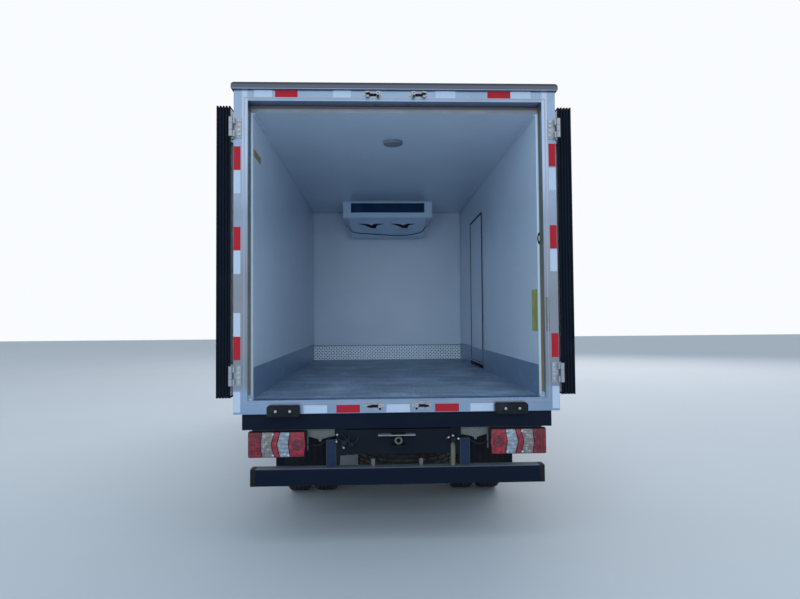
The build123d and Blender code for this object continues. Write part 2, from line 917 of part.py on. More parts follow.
# Front axle beam with an eye for each kingpin
steer_y = at(front_axle_ahead)
eye_low = tyre_radius - eye_half
eye_high = tyre_radius + eye_half
with BuildPart() as front_axle:
    block(-front_beam_half, front_beam_half, steer_y - front_beam_depth, steer_y + front_beam_depth,
          front_beam_low, front_beam_top)
    for side in (-1, 1):
        block(side * eye_in, side * eye_out, steer_y - eye_depth, steer_y + eye_depth, eye_low,
              eye_high)
        upright(side * kingpin_x, steer_y, eye_low, eye_high, eye_radius)
        block(side * eye_in, side * eye_foot_out, steer_y - eye_depth, steer_y + eye_depth,
              front_beam_low, eye_high)
        upright(side * kingpin_x, steer_y, tyre_radius - kingpin_half, tyre_radius + kingpin_half,
                kingpin_radius)
save(front_axle, "front_axle")

# Leaf springs, one pack at each end of each axle, with their hangers under the rails
with BuildPart() as leaf_springs:
    for ahead, seat, end, half in spring_table:
        for side in (-1, 1):
            with BuildSketch(Plane.YZ.offset(side * spring_x)):
                with BuildLine():
                    Polyline((at(ahead - half), end), (at(ahead - half), end - leaf_thickness),
                             (at(ahead - spring_clamp_half), seat),
                             (at(ahead + spring_clamp_half), seat),
                             (at(ahead + half), end - leaf_thickness), (at(ahead + half), end),
                             (at(ahead + half - hanger_length), end),
                             (at(ahead + spring_clamp_half), seat + pack_thickness),
                             (at(ahead - spring_clamp_half), seat + pack_thickness),
                             (at(ahead - half + hanger_length), end), close=True)
                make_face()
            extrude(amount=spring_leaf_half, both=True)
            for way in (-1, 1):
                block(side * (spring_x - hanger_half), side * (spring_x + hanger_half),
                      at(ahead + way * half), at(ahead + way * (half - hanger_length)), end,
                      rail_bottom)
save(leaf_springs, "leaf_springs")


# Fuel tank, battery box and exhaust beside the rails
with BuildPart() as fuel_tank:
    block(-tank_out, -tank_in, at(tank_back), at(tank_front), tank_low, tank_high)
    fillet(fuel_tank.edges().filter_by(Axis.Y), tank_round)
    for place in tank_bracket_places:
        block(-tank_in - 1, -rail_outer, at(place - tank_bracket_half),
              at(place + tank_bracket_half), bracket_low, bracket_high)
save(fuel_tank, "fuel_tank")

with BuildPart() as battery_box:
    block(-battery_out, -tank_in, at(battery_back), at(battery_front), battery_low, battery_high)
    fillet(battery_box.edges().filter_by(Axis.Z), battery_round)
    block(-tank_in - 1, -rail_outer, at(battery_back + battery_bracket_inset),
          at(battery_front - battery_bracket_inset), bracket_low, bracket_high)
save(battery_box, "battery_box")

with BuildPart() as exhaust:
    lengthwise(at(silencer_back), at(silencer_front), exhaust_x, exhaust_height, silencer_radius)
    with BuildLine() as pipe_line:
        FilletPolyline((exhaust_x, at(silencer_front - silencer_overlap), exhaust_height),
                       (exhaust_x, at(pipe_end), exhaust_height),
                       (gearbox_half + 1, at(pipe_end), exhaust_height), radius=pipe_bend)
    with BuildSketch(Plane(pipe_line.line @ 0, z_dir=pipe_line.line % 0)):
        Circle(pipe_radius)
    sweep(path=pipe_line.line)
    lengthwise(at(tail_pipe_end), at(silencer_back + silencer_overlap), exhaust_x, exhaust_height,
               pipe_radius)
    for place in exhaust_bracket_places:
        block(rail_outer, exhaust_x - exhaust_bracket_short, at(place - exhaust_bracket_half),
              at(place + exhaust_bracket_half), exhaust_bracket_low, exhaust_bracket_high)
save(exhaust, "exhaust")

# Side guards: two bars a side on posts under the cross bearers
guard_posts = (bearer_first + 6 * bearer_spacing, bearer_first + 8 * bearer_spacing,
               bearer_first + 11 * bearer_spacing)
with BuildPart() as side_guards:
    for side in (-1, 1):
        for low in side_guard_lows:
            block(side * side_guard_in, side * side_guard_out,
                  at(guard_posts[0] - side_guard_back_reach),
                  at(guard_posts[-1] + side_guard_front_reach), low, low + side_guard_height)
        for place in guard_posts:
            block(side * side_guard_post_in, side * side_guard_in, at(place - side_guard_post_half),
                  at(place + side_guard_post_half), side_guard_lows[0], bearer_bottom)
save(side_guards, "side_guards")

# Rear mudguards with their flaps, hung from the cross bearers
flap_ahead = bearer_first + 2 * bearer_spacing
with BuildPart() as mudguards:
    for side in (-1, 1):
        with BuildSketch(Plane.YZ.offset(side * (mudguard_in + mudguard_out) / 2)):
            with BuildLine():
                Polyline((at(flap_ahead), bearer_bottom), (at(mudguard_front), bearer_bottom),
                         (at(mudguard_nose), mudguard_nose_low),
                         (at(mudguard_nose - mudguard_sheet), mudguard_nose_low),
                         (at(mudguard_front - mudguard_sheet), bearer_bottom - mudguard_sheet),
                         (at(flap_ahead), bearer_bottom - mudguard_sheet), close=True)
            make_face()
        extrude(amount=(mudguard_out - mudguard_in) / 2, both=True)
        block(side * flap_in, side * flap_out, at(flap_ahead - flap_half), at(flap_ahead + flap_half),
              flap_low, bearer_bottom)
save(mudguards, "mudguards")

# Spare wheel lying under the rear overhang
with BuildPart() as spare_wheel:
    upright(spare_x, at(spare_ahead), spare_low, spare_low + tyre_width, tyre_radius)
    fillet(spare_wheel.edges().filter_by(GeomType.CIRCLE), tyre_shoulder)
    upright(spare_x, at(spare_ahead), spare_low + spare_disc_high, spare_low + tyre_width,
            barrel_inner, Mode.SUBTRACT)
    upright(spare_x, at(spare_ahead), spare_low, spare_low + spare_disc_low, barrel_inner,
            Mode.SUBTRACT)
    upright(spare_x, at(spare_ahead), spare_low, spare_low + tyre_width,
            hanger_radius + pin_clearance, Mode.SUBTRACT)
save(spare_wheel, "spare_wheel")

# Rear underrun bar, a channel open to the front with closed ends, on two hangers
with BuildPart() as underride_bar:
    block(-guard_half, guard_half, at(-guard_back), at(guard_depth - guard_back), guard_low,
          guard_high)
    block(-guard_half + guard_sheet, guard_half - guard_sheet, at(-guard_back + guard_sheet),
          at(guard_depth - guard_back), guard_low + guard_sheet, guard_high - guard_sheet,
          Mode.SUBTRACT)
    for side in (-1, 1):
        block(side * rail_outer, side * guard_hanger_out, at(guard_hanger_back),
              at(guard_hanger_front), guard_high - guard_sheet, lamp_plate_low)
save(underride_bar, "underride_bar")

# Tail lamps, the plates that carry them, and the rubber dock bumpers
with BuildPart() as tail_lamps:
    for side in (-1, 1):
        block(side * lamp_in, side * lamp_out, at(-lamp_back), at(lamp_front), lamp_low, lamp_high)
    fillet(tail_lamps.edges().filter_by(Axis.Z), lamp_corner)
    for side in (-1, 1):
        block(side * lamp_plate_in, side * (lamp_out - lamp_plate_short), at(lamp_front),
              at(lamp_front + lamp_plate_thickness), lamp_plate_low,
              floor_bottom - rear_beam_height)
save(tail_lamps, "tail_lamps")

with BuildPart() as dock_bumpers:
    for side in (-1, 1):
        block(side * bumper_in, side * bumper_out, at(-dock_bumper_depth), at(0), floor_bottom,
              bumper_high)
        block(side * bumper_in, side * bumper_out, at(-dock_bumper_depth), at(rear_beam_back),
              bumper_low, floor_bottom)
    fillet(dock_bumpers.faces().sort_by(Axis.Y)[0:2].edges(), bumper_round)
save(dock_bumpers, "dock_bumpers")


# Wheels. The tyre is a turned ring; the rim is a barrel with a dished disc and a hub.
def make_tyre(centres, y, label):
    """One tyre, or the twin tyres of one rear wheel body."""
    with BuildPart() as tyre:
        for centre in centres:
            crosswise(centre - tyre_width / 2, centre + tyre_width / 2, y, tyre_radius, tyre_radius)
        fillet(tyre.edges().filter_by(GeomType.CIRCLE), tyre_shoulder)
        for centre in centres:
            crosswise(centre - tyre_width / 2 - 1, centre + tyre_width / 2 + 1, y, tyre_radius,
                      bead_radius, Mode.SUBTRACT)
    save(tyre, label)


def make_rim(side, rims, hub_in, hub_out, bore, y, label):
    """rims holds, for each wheel, its centre and the low side of its disc, as distances out."""
    with BuildPart() as rim:
        for centre, disc in rims:
            way = 1 if disc > centre else -1
            near = disc if way > 0 else disc + disc_thickness
            far = near + way * disc_thickness
            foot = centre + way * disc_foot
            with BuildSketch(Plane(origin=(0, y, tyre_radius), x_dir=(side, 0, 0),
                                   z_dir=(0, -side, 0))):
                with BuildLine():
                    Polyline((centre - barrel_half, bead_radius), (centre + barrel_half, bead_radius),
                             (centre + barrel_half, barrel_inner),
                             (centre - barrel_half, barrel_inner), close=True)
                make_face()
                with BuildLine():
                    Polyline((near, disc_bore), (near, disc_dish),
                             (foot - way * disc_foot_inside, barrel_inner + 1),
                             (foot + way * disc_foot_outside, barrel_inner + 1),
                             (far, disc_dish_outside), (far, disc_bore), close=True)
                make_face()
            revolve(axis=Axis((0, y, tyre_radius), (1, 0, 0)))
        for turn in range(stud_count):
            angle = radians(turn * 360 / stud_count)
            for centre, disc in rims:
                crosswise(side * (disc - disc_foot), side * (disc + disc_foot),
                          y + hand_hole_circle * cos(angle),
                          tyre_radius + hand_hole_circle * sin(angle), hand_hole_radius, Mode.SUBTRACT)
        crosswise(side * hub_in, side * hub_out, y, tyre_radius, hub_radius)
        crosswise(side * hub_in, side * (hub_out - hub_cap), y, tyre_radius, bore, Mode.SUBTRACT)
        face_out = rims[0][1] + disc_thickness
        for turn in range(stud_count):
            angle = radians((turn + 0.5) * 360 / stud_count)
            crosswise(side * face_out, side * (face_out + stud_length),
                      y + stud_circle_radius * cos(angle),
                      tyre_radius + stud_circle_radius * sin(angle), stud_radius)
    save(rim, label)


rear_inner_centre = rear_outer_centre - twin_spacing
disc_middle = (rear_outer_centre + rear_inner_centre) / 2
for side, word in ((-1, "left"), (1, "right")):
    make_tyre([side * front_tyre_centre], steer_y, f"front_tyre_{word}")
    make_rim(side, [(front_tyre_centre, front_tyre_centre + mount_offset - disc_thickness)],
             front_hub_in, front_hub_out, front_stub_radius + hub_bore_clearance, steer_y,
             f"front_rim_{word}")
    make_tyre([side * rear_outer_centre, side * rear_inner_centre], axle_y, f"rear_tyres_{word}")
    make_rim(side, [(rear_outer_centre, disc_middle), (rear_inner_centre, disc_middle - disc_thickness)],
             disc_middle - hub_in_from_disc, rear_hub_out, stub_radius + hub_bore_clearance, axle_y,
             f"rear_rims_{word}")

    # Steering knuckle: two arms round the kingpin, a plate and the wheel's stub
    with BuildPart() as knuckle:
        for way in (-1, 1):
            block(side * (kingpin_x - knuckle_arm_in), side * knuckle_arm_out, steer_y - eye_depth,
                  steer_y + eye_depth, tyre_radius + way * (eye_half + knuckle_arm_gap),
                  tyre_radius + way * knuckle_arm_top)
        block(side * knuckle_plate_in, side * knuckle_plate_out, steer_y - knuckle_plate_half,
              steer_y + knuckle_plate_half, tyre_radius - knuckle_arm_top,
              tyre_radius + knuckle_arm_top)
        crosswise(side * knuckle_plate_out, side * brake_out, steer_y, tyre_radius, brake_radius)
        crosswise(side * brake_out, side * front_stub_end, steer_y, tyre_radius, front_stub_radius)
        upright(side * kingpin_x, steer_y, tyre_radius - kingpin_half, tyre_radius + kingpin_half,
                kingpin_radius + pin_clearance, Mode.SUBTRACT)
    save(knuckle, f"knuckle_{word}")


# Cab. Its outer form is where three outlines meet: from the side, the front and above.
def cab_form(side_inset, front_inset, low):
    nose_low = at(cab_front)
    with BuildPart() as form:
        with BuildSketch(Plane.YZ):
            with BuildLine():
                FilletPolyline((at(cab_rear), low), (at(cab_rear), cab_roof),
                               (at(cab_rear + roof_length), cab_roof),
                               (nose_low - nose_setback, cab_belt + windscreen_foot),
                               (nose_low, cab_belt - nose_break), (nose_low, low),
                               radius=side_rounds)
                Line((nose_low, low), (at(cab_rear), low))
            make_face()
            if side_inset > 0:
                offset(amount=-side_inset)
                with Locations((at(cab_rear + cab_length / 2), low)):
                    Rectangle(cab_length - 2 * side_inset, 2 * side_inset + 2)
        extrude(amount=cab_half + 10, both=True)
        with BuildSketch(Plane.XZ):
            with BuildLine():
                belt_half = cab_half - front_inset
                roof_half = cab_half - cab_lean - front_inset
                top = cab_roof - side_inset + outline_margin
                FilletPolyline((-belt_half, low - 100), (-belt_half, cab_belt), (-roof_half, top),
                               (roof_half, top), (belt_half, cab_belt), (belt_half, low - 100),
                               radius=front_rounds)
                Line((belt_half, low - 100), (-belt_half, low - 100))
            make_face()
        extrude(amount=overall_length, both=True, mode=Mode.INTERSECT)
        with BuildSketch(Plane.XY.offset(low - 100)):
            with BuildLine():
                plan_half = belt_half + outline_margin
                nose = nose_low - side_inset + outline_margin
                FilletPolyline((-plan_half, at(cab_rear - 10)), (-plan_half, nose), (plan_half, nose),
                               (plan_half, at(cab_rear - 10)), radius=cab_corner - front_inset)
                Line((plan_half, at(cab_rear - 10)), (-plan_half, at(cab_rear - 10)))
            make_face()
        extrude(amount=cab_roof + 200, mode=Mode.INTERSECT)
    return form.part


def prism_from_side(points, grow):
    """A crosswise prism through the whole cab, from an outline seen from the side."""
    with BuildPart() as prism:
        with BuildSketch(Plane.YZ):
            with BuildLine():
                Polyline(*points, close=True)
            make_face()
            if grow != 0:
                offset(amount=grow, kind=Kind.INTERSECTION)
        extrude(amount=cab_half + 100, both=True)
    return prism.part


def prism_from_front(points, depth):
    """A lengthwise prism into the cab's front, from an outline seen from the front."""
    with BuildPart() as prism:
        with BuildSketch(Plane.XZ.offset(-at(cab_front + 100))):
            with BuildLine():
                Polyline(*points, close=True)
            make_face()
        extrude(amount=depth + 100)
    return prism.part


door_outline = [(at(cab_door_front), cab_door_low), (at(cab_door_front), cab_belt),
                (at(cab_door_front - door_lean), cab_door_top), (at(cab_door_rear), cab_door_top),
                (at(cab_door_rear), arch_line_rear), (at(cab_door_front - arch_line_far), arch_line_front),
                (at(cab_door_front - arch_line_near), cab_door_low)]
window_outline = [(at(cab_door_front - window_front), window_low),
                  (at(cab_door_front - window_front_top), window_high),
                  (at(cab_door_rear + window_rear), window_high),
                  (at(cab_door_rear + window_rear), window_low)]
windscreen_outline = [(-screen_half_low, screen_low), (-screen_half_high, screen_high),
                      (screen_half_high, screen_high), (screen_half_low, screen_low)]

outer_form = cab_form(0, 0, cab_low)
inner_form = cab_form(cab_sheet, cab_skin, cab_low)
fitted_form = cab_form(cab_sheet + pin_clearance, cab_skin + pin_clearance, cab_low)
glass_outer = cab_form(glass_inset, glass_inset, cab_low)
glass_inner = cab_form(glass_inset + glass_thickness, glass_inset + glass_thickness, cab_low)
door_hole = prism_from_side(door_outline, cab_door_gap / 2)
door_body = prism_from_side(door_outline, -cab_door_gap / 2)
window_hole = prism_from_side(window_outline, 0)
windscreen_hole = prism_from_front(windscreen_outline, screen_depth)
lamp_holes = [prism_from_front([(side * x, z) for x, z in headlamp_outline], cab_corner)
              for side in (-1, 1)]

def cab_hinge(side, way, near, far, bore):
    """Knuckles of a cab door's hinges: way is 1 on the pillar and -1 on the door."""
    pin = side * (cab_half + cab_pin_out)
    half = cab_leaf_thickness / 2
    y = at(cab_door_front)
    for height in cab_hinge_heights:
        for up in (-1, 1):
            low, high = height + up * near, height + up * far
            upright(pin, y, low, high, cab_knuckle_radius)
            block(side * cab_half, pin, y + way * cab_leaf_near, y + way * cab_leaf_far, low, high)
            block(pin - half, pin + half, y, y + way * cab_leaf_front, low, high)
        if bore:
            upright(pin, y, height - far - 1, height + far + 1, cab_pin_radius + pin_clearance,
                    Mode.SUBTRACT)
        else:
            upright(pin, y, height - far, height + far, cab_pin_radius)


# Cab shell, without its doors and glass
with BuildPart() as cab_shell:
    add(outer_form)
    add(inner_form, mode=Mode.SUBTRACT)
    add(door_hole, mode=Mode.SUBTRACT)
    add(windscreen_hole, mode=Mode.SUBTRACT)
    for hole in lamp_holes:
        add(hole, mode=Mode.SUBTRACT)
    crosswise(-cab_half, cab_half, at(front_axle_ahead), tyre_radius, arch_radius, Mode.SUBTRACT)
    block(-rail_slot_half, rail_slot_half, at(cab_rear), at(cab_front - cab_sheet), cab_low,
          rail_slot_top, Mode.SUBTRACT)
    block(-cab_half, cab_half, at(cab_front - bumper_wrap - bumper_slot), at(cab_front), cab_low,
          front_panel_low, Mode.SUBTRACT)
    for side in (-1, 1):
        block(side * (cab_half - step_depth), side * (cab_half - step_clear),
              at(cab_door_front - step_back), at(cab_door_front), cab_step_low,
              cab_step_low + step_thickness)
        block(side * (cab_half - step_thickness), side * (cab_half - step_clear),
              at(cab_door_front - step_back), at(cab_door_front), cab_step_low,
              cab_door_low - cab_door_gap / 2)
        cab_hinge(side, 1, cab_ear_near, cab_ear_far, False)
save(cab_shell, "cab_shell")

# Windscreen
with BuildPart() as windscreen:
    add(glass_outer)
    add(glass_inner, mode=Mode.SUBTRACT)
    add(windscreen_hole, mode=Mode.INTERSECT)
save(windscreen, "windscreen")

# Head lamps, flush with the front panel
with BuildPart() as headlamps:
    add(lamp_holes)
    add(outer_form, mode=Mode.INTERSECT)
    add(inner_form, mode=Mode.SUBTRACT)
save(headlamps, "headlamps")

# Cab doors and their glass
for side, word in ((-1, "left"), (1, "right")):
    with BuildPart() as cab_door:
        add(outer_form)
        add(inner_form, mode=Mode.SUBTRACT)
        add(door_body, mode=Mode.INTERSECT)
        add(window_hole, mode=Mode.SUBTRACT)
        block(0, -side * cab_half, at(cab_rear), at(cab_front), cab_step_low, cab_roof,
              Mode.SUBTRACT)
        block(side * cab_half, side * (cab_half + handle_out), at(cab_door_rear + cab_handle_near),
              at(cab_door_rear + cab_handle_far), cab_belt - cab_handle_low,
              cab_belt - cab_handle_high)
        cab_hinge(side, -1, 0, cab_knuckle_half, True)
    save(cab_door, f"cab_door_{word}")
    with BuildPart() as door_glass:
        add(glass_outer)
        add(glass_inner, mode=Mode.SUBTRACT)
        add(window_hole, mode=Mode.INTERSECT)
        block(0, -side * cab_half, at(cab_rear), at(cab_front), cab_step_low, cab_roof,
              Mode.SUBTRACT)
    save(door_glass, f"door_glass_{word}")

# Cab floor with the hollow cover over the engine, and the ears of the front pivot
inner_half = cab_half - cab_skin
with BuildPart() as cab_floor:
    block(-inner_half, inner_half, at(cab_rear + cab_sheet), at(cab_front - cab_sheet), cab_floor_low,
          cab_floor_top)
    add(fitted_form, mode=Mode.INTERSECT)
    for side in (-1, 1):
        block(side * (inner_half - sill_overlap), side * inner_half, at(cab_door_rear - door_edge_room),
              at(cab_door_front + door_edge_room), cab_floor_low, cab_floor_top, Mode.SUBTRACT)
    block(-cover_half, cover_half, at(cab_rear + cover_back), at(cab_rear + cover_front), cab_floor_top,
          cover_top)
    block(-cover_half + cover_sheet, cover_half - cover_sheet, at(cab_rear + cover_back + cover_sheet),
          at(cab_rear + cover_front - cover_sheet), cab_floor_low, cover_top - cover_sheet,
          Mode.SUBTRACT)
    for side in (-1, 1):
        for near, far in pivot_ear_places:
            block(side * near, side * far, at(pivot_ahead - pivot_ear_back),
                  at(pivot_ahead + pivot_ear_front), pivot_height - pivot_ear_below, cab_floor_low)
        crosswise(side * pivot_hole_in, side * pivot_hole_out, at(pivot_ahead), pivot_height,
                  pivot_radius + pin_clearance, Mode.SUBTRACT)
save(cab_floor, "cab_floor")

# Seats: the driver's seat and a bench for two
with BuildPart() as seats:
    for middle, half in seat_table:
        with BuildSketch(Plane.YZ.offset(middle)):
            with BuildLine():
                Polyline(*[(at(cab_rear + ahead), cover_top + pin_clearance + high)
                           for ahead, high in seat_outline], close=True)
            make_face()
        extrude(amount=half, both=True)
save(seats, "seats")

# Dashboard with the steering column
wheel_centre = (steering_x, at(steering_ahead), steering_height)
lean = radians(steering_lean)
column_axis = (0, -sin(lean), cos(lean))


def along_column(distance):
    """A point below the steering wheel's centre, down the column."""
    return tuple(c - distance * a for c, a in zip(wheel_centre, column_axis))


with BuildPart() as dashboard:
    with BuildSketch(Plane.YZ):
        with BuildLine():
            Polyline(*[(at(cab_front - behind), high) for behind, high in dash_outline], close=True)
        make_face()
    extrude(amount=inner_half - dash_side_clearance, both=True)
    add(fitted_form, mode=Mode.INTERSECT)
    with BuildSketch(Plane(along_column(column_start), z_dir=column_axis)):
        Circle(column_radius)
    extrude(amount=-column_length)
    with BuildSketch(Plane(along_column(column_start), z_dir=column_axis)):
        Circle(column_tip_radius)
    extrude(amount=column_tip_length)
    block(steering_x - foot_room_half, steering_x + foot_room_half, at(cab_rear + foot_room_back),
          at(cab_front), foot_room_low, cab_floor_top, Mode.SUBTRACT)
save(dashboard, "dashboard")

# Steering wheel
with BuildPart(Plane(wheel_centre, z_dir=column_axis)) as steering_wheel:
    Torus(steering_wheel_radius, steering_rim_radius)
    Cylinder(steering_boss_radius, steering_boss_height)
    for turn in (90, 210, 330):
        with Locations(Location((0, 0, 0), (0, 0, turn))):
            Box(steering_wheel_radius, spoke_width, spoke_thickness,
                align=(Align.MIN, Align.CENTER, Align.CENTER))
    with Locations((0, 0, -steering_boss_height / 2)):
        Cylinder(column_tip_radius + pin_clearance, steering_boss_height / 2, mode=Mode.SUBTRACT)
save(steering_wheel, "steering_wheel")

# Mirrors on arms from the corner pillars
with BuildPart() as mirrors:
    for side in (-1, 1):
        block(side * (mirror_x - mirror_half), side * (mirror_x + mirror_half),
              at(mirror_ahead - mirror_back), at(mirror_ahead + mirror_front), mirror_low, mirror_high)
    fillet(mirrors.edges().filter_by(Axis.Y), mirror_corner)
    for side in (-1, 1):
        for height in mirror_arm_heights:
            crosswise(side * cab_half, side * mirror_x, at(mirror_ahead), height, mirror_tube)
        upright(side * mirror_x, at(mirror_ahead), mirror_arm_heights[0] - mirror_tube,
                mirror_high + mirror_back, mirror_tube)
save(mirrors, "mirrors")

# Front bumper across the rail ends
bumper_front = at(cab_front + front_bumper_reach)
bumper_rear = at(cab_front - bumper_wrap)
with BuildPart() as front_bumper:
    with BuildSketch(Plane.XY.offset(front_bumper_low)):
        with BuildLine():
            FilletPolyline((-cab_half, bumper_rear), (-cab_half, bumper_front),
                           (cab_half, bumper_front), (cab_half, bumper_rear),
                           radius=front_bumper_corner)
            Line((cab_half, bumper_rear), (-cab_half, bumper_rear))
        make_face()
    extrude(amount=front_bumper_high - front_bumper_low)
    block(-cab_half + front_bumper_wall, cab_half - front_bumper_wall, bumper_rear,
          bumper_front - front_bumper_wall, front_bumper_low, front_bumper_high, Mode.SUBTRACT)
    for side in (-1, 1):
        block(side * pivot_arm_in, side * pivot_arm_out, at(rail_front_end),
              bumper_front - front_bumper_wall, front_bracket_low, front_bracket_high)
save(front_bumper, "front_bumper")
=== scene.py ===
from math import cos, pi, radians, sin

import bmesh
import bpy
from mathutils import Matrix, Vector


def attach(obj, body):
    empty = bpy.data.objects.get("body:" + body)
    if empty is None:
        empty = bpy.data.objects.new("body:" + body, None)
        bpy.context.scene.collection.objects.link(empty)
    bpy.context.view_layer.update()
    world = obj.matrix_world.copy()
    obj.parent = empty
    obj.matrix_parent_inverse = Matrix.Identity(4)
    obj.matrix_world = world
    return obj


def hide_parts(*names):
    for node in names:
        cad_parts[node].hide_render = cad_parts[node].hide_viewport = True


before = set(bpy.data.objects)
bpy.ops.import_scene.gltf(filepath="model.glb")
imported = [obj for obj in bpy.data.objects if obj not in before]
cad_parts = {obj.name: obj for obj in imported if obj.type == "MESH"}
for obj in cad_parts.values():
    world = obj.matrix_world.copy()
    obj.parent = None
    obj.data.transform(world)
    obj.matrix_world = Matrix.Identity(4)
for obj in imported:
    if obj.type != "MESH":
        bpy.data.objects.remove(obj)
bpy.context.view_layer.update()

# Metres. X is the truck's right, Y is forward, Z is up. "ahead" is a distance in front of the
# rear face of the door frame, and "up" is a height above the load floor.
REAR = -2.81
SILL = 0.89
SIDES = (-1, 1)
SIDE_WORDS = ((-1, "left"), (1, "right"))
ORIGIN, UPWARD, DOWNWARD, FORWARD, BACKWARD = (0, 0, 0), (0, 0, 1), (0, 0, -1), (0, 1, 0), (0, -1, 0)


def off(start, *shifts):
    """The place at a shift from the start, or the span between two of them."""
    places = tuple(start + shift for shift in shifts)
    return places if len(places) > 1 else places[0]


def ahead(*distances):
    return off(REAR, *distances)


def up(*heights):
    return off(SILL, *heights)


def out(side, *places):
    """A span across the truck, measured from its middle toward one side."""
    return tuple(side * place for place in places)


def path(*spots):
    """Points given by their place across, their distance ahead and their height above the ground."""
    return [(x, ahead(distance), z) for x, distance, z in spots]


# ---------------------------------------------------------------- camera
YAW, PITCH, ROLL = 0.0381, 0.0337, 0.0079
EYE = (-0.131, -6.690, 1.398)
look = Vector((sin(YAW) * cos(PITCH), cos(YAW) * cos(PITCH), sin(PITCH)))
level = Vector((cos(YAW), -sin(YAW), 0))
below = -level.cross(look)
picture_right = level * cos(ROLL) + below * sin(ROLL)
picture_up = -(below * cos(ROLL) - level * sin(ROLL))
lens = bpy.data.cameras.new("camera")
lens.lens = 27.05
lens.sensor_width = 36
camera = bpy.data.objects.new("camera", lens)
bpy.context.scene.collection.objects.link(camera)
camera.matrix_world = Matrix.Translation(EYE) @ Matrix((picture_right, picture_up, -look)).transposed().to_4x4()
bpy.context.scene.camera = camera


# ---------------------------------------------------------------- shader maths
class Wire:
    """A shader value. Python's operators on it add the Math nodes."""

    def __init__(self, finish, socket):
        self.finish = finish
        self.socket = socket

    def maths(self, operation, *values):
        return self.finish.wire("ShaderNodeMath", {"operation": operation}, dict(enumerate(values)))

    def __add__(self, other):
        return self.maths("ADD", self, other)

    def __sub__(self, other):
        return self.maths("SUBTRACT", self, other)

    def __rsub__(self, other):
        return self.maths("SUBTRACT", other, self)

    def __mul__(self, other):
        return self.maths("MULTIPLY", self, other)

    def __mod__(self, other):
        return self.maths("FLOORED_MODULO", self, other)

    def __abs__(self):
        return self.maths("ABSOLUTE", self)

    __radd__ = __add__
    __rmul__ = __mul__

    def between(self, low, high):
        """0 below low, 1 above high, and a smooth rise from one to the other."""
        return self.finish.wire("ShaderNodeMapRange", {"interpolation_type": "SMOOTHSTEP"},
                                {"Value": self, "From Min": low, "From Max": high})


looks = {}


class Finish:
    """A procedural material, kept in looks under its name."""

    def __init__(self, name):
        self.material = looks[name] = bpy.data.materials.new(name)
        self.material.use_nodes = True
        self.tree = self.material.node_tree
        self.tree.nodes.clear()

    def node(self, kind, settings=(), sockets=()):
        """Any node: its type, its settings, then the values or links of its sockets."""
        node = self.tree.nodes.new(kind)
        for key, value in dict(settings).items():
            setattr(node, key, value)
        for key, value in dict(sockets).items():
            if isinstance(value, Wire):
                self.tree.links.new(value.socket, node.inputs[key])
            else:
                node.inputs[key].default_value = value
        return node

    def wire(self, kind, settings=(), sockets=(), output=0):
        return Wire(self, self.node(kind, settings, sockets).outputs[output])

    def split(self, vector):
        return [Wire(self, socket) for socket in self.node("ShaderNodeSeparateXYZ", {}, {0: vector}).outputs]

    def place(self, stretch=(1, 1, 1)):
        """Object coordinates, stretched."""
        spot = self.wire("ShaderNodeTexCoord", output="Object")
        return self.wire("ShaderNodeMapping", {}, {"Vector": spot, "Scale": stretch})

    def axes(self):
        return self.split(self.place())

    def facing(self):
        """How much the surface faces along X, Y and Z."""
        return self.split(self.wire("ShaderNodeNewGeometry", output="Normal"))

    def noise(self, scale, detail=3.0, stretch=(1, 1, 1)):
        return self.wire("ShaderNodeTexNoise", {},
                         {"Vector": self.place(stretch), "Scale": scale, "Detail": detail, "Roughness": 0.5})

    def cells(self, scale, feature="F1"):
        return self.wire("ShaderNodeTexVoronoi", {"feature": feature}, {"Vector": self.place(), "Scale": scale})

    def blend(self, factor, first, second):
        """first where factor is 0, second where it is 1. Colours have three numbers."""
        ends = [value if isinstance(value, Wire) else (*value, 1) for value in (first, second)]
        return self.wire("ShaderNodeMix", {"data_type": "RGBA"}, {0: factor, 6: ends[0], 7: ends[1]}, 2)

    def surface(self, colour, roughness, height=None, depth=0.0005, **fixed):
        """The principled shader. height and depth make its bump; fixed names constant sockets."""
        sockets = {"Base Color": colour, "Roughness": roughness}
        if height is not None:
            sockets["Normal"] = self.wire("ShaderNodeBump", {}, {"Height": height, "Distance": depth})
        for key, value in fixed.items():
            sockets[key.replace("_", " ").title().replace("Ior", "IOR")] = value
        shader = self.wire("ShaderNodeBsdfPrincipled", {}, sockets)
        self.node("ShaderNodeOutputMaterial", {}, {"Surface": shader})


def shade(colour, amount):
    return tuple(channel * amount for channel in colour)


# ---------------------------------------------------------------- finishes
WHITE = (0.78, 0.79, 0.80)
# The bluer white of the box's inside is painted shade: the same white panels, tinted the way they look in the box's
# shade
WHITE_IN_SHADE = (0.665, 0.765, 0.89)


def panel_skin(name, colour, gloss=0.3, dirt=0.0, low=0.9, high=2.4, shaded_inside=None):
    """Glass-fibre skin or enamel: faint clouding, a fine ripple and some dust low down. The box's
    inner faces take a bluer white as painted shade, and stay clean."""
    finish = Finish(name)
    x, y, z = finish.axes()
    cloud = finish.noise(1.7, 5)
    fleck = finish.noise(240, 2)
    ripple = finish.noise(38, 2)
    dust = (1 - z.between(low, high)) * dirt * cloud.between(0.3, 0.8)
    tone = finish.blend(cloud.between(0.3, 0.75), shade(colour, 0.94), colour)
    if shaded_inside:
        inside = ((1 - abs(x).between(0.985, 0.987)) * (1 - z.between(2.830, 2.832))
                  * (1 - y.between(1.070, 1.072)))
        clean = finish.blend(cloud.between(0.3, 0.75), shade(shaded_inside, 0.94), shaded_inside)
        tone = finish.blend(inside, tone, clean)
        dust = dust * (1 - inside)
    tone = finish.blend(fleck * 0.06, tone, shade(colour, 0.6))
    tone = finish.blend(dust, tone, (0.33, 0.30, 0.26))
    finish.surface(tone, fleck * 0.12 + dust * 0.4 + gloss, ripple + fleck * 0.3, 0.0004,
                   coat_weight=0.25, coat_roughness=0.15)


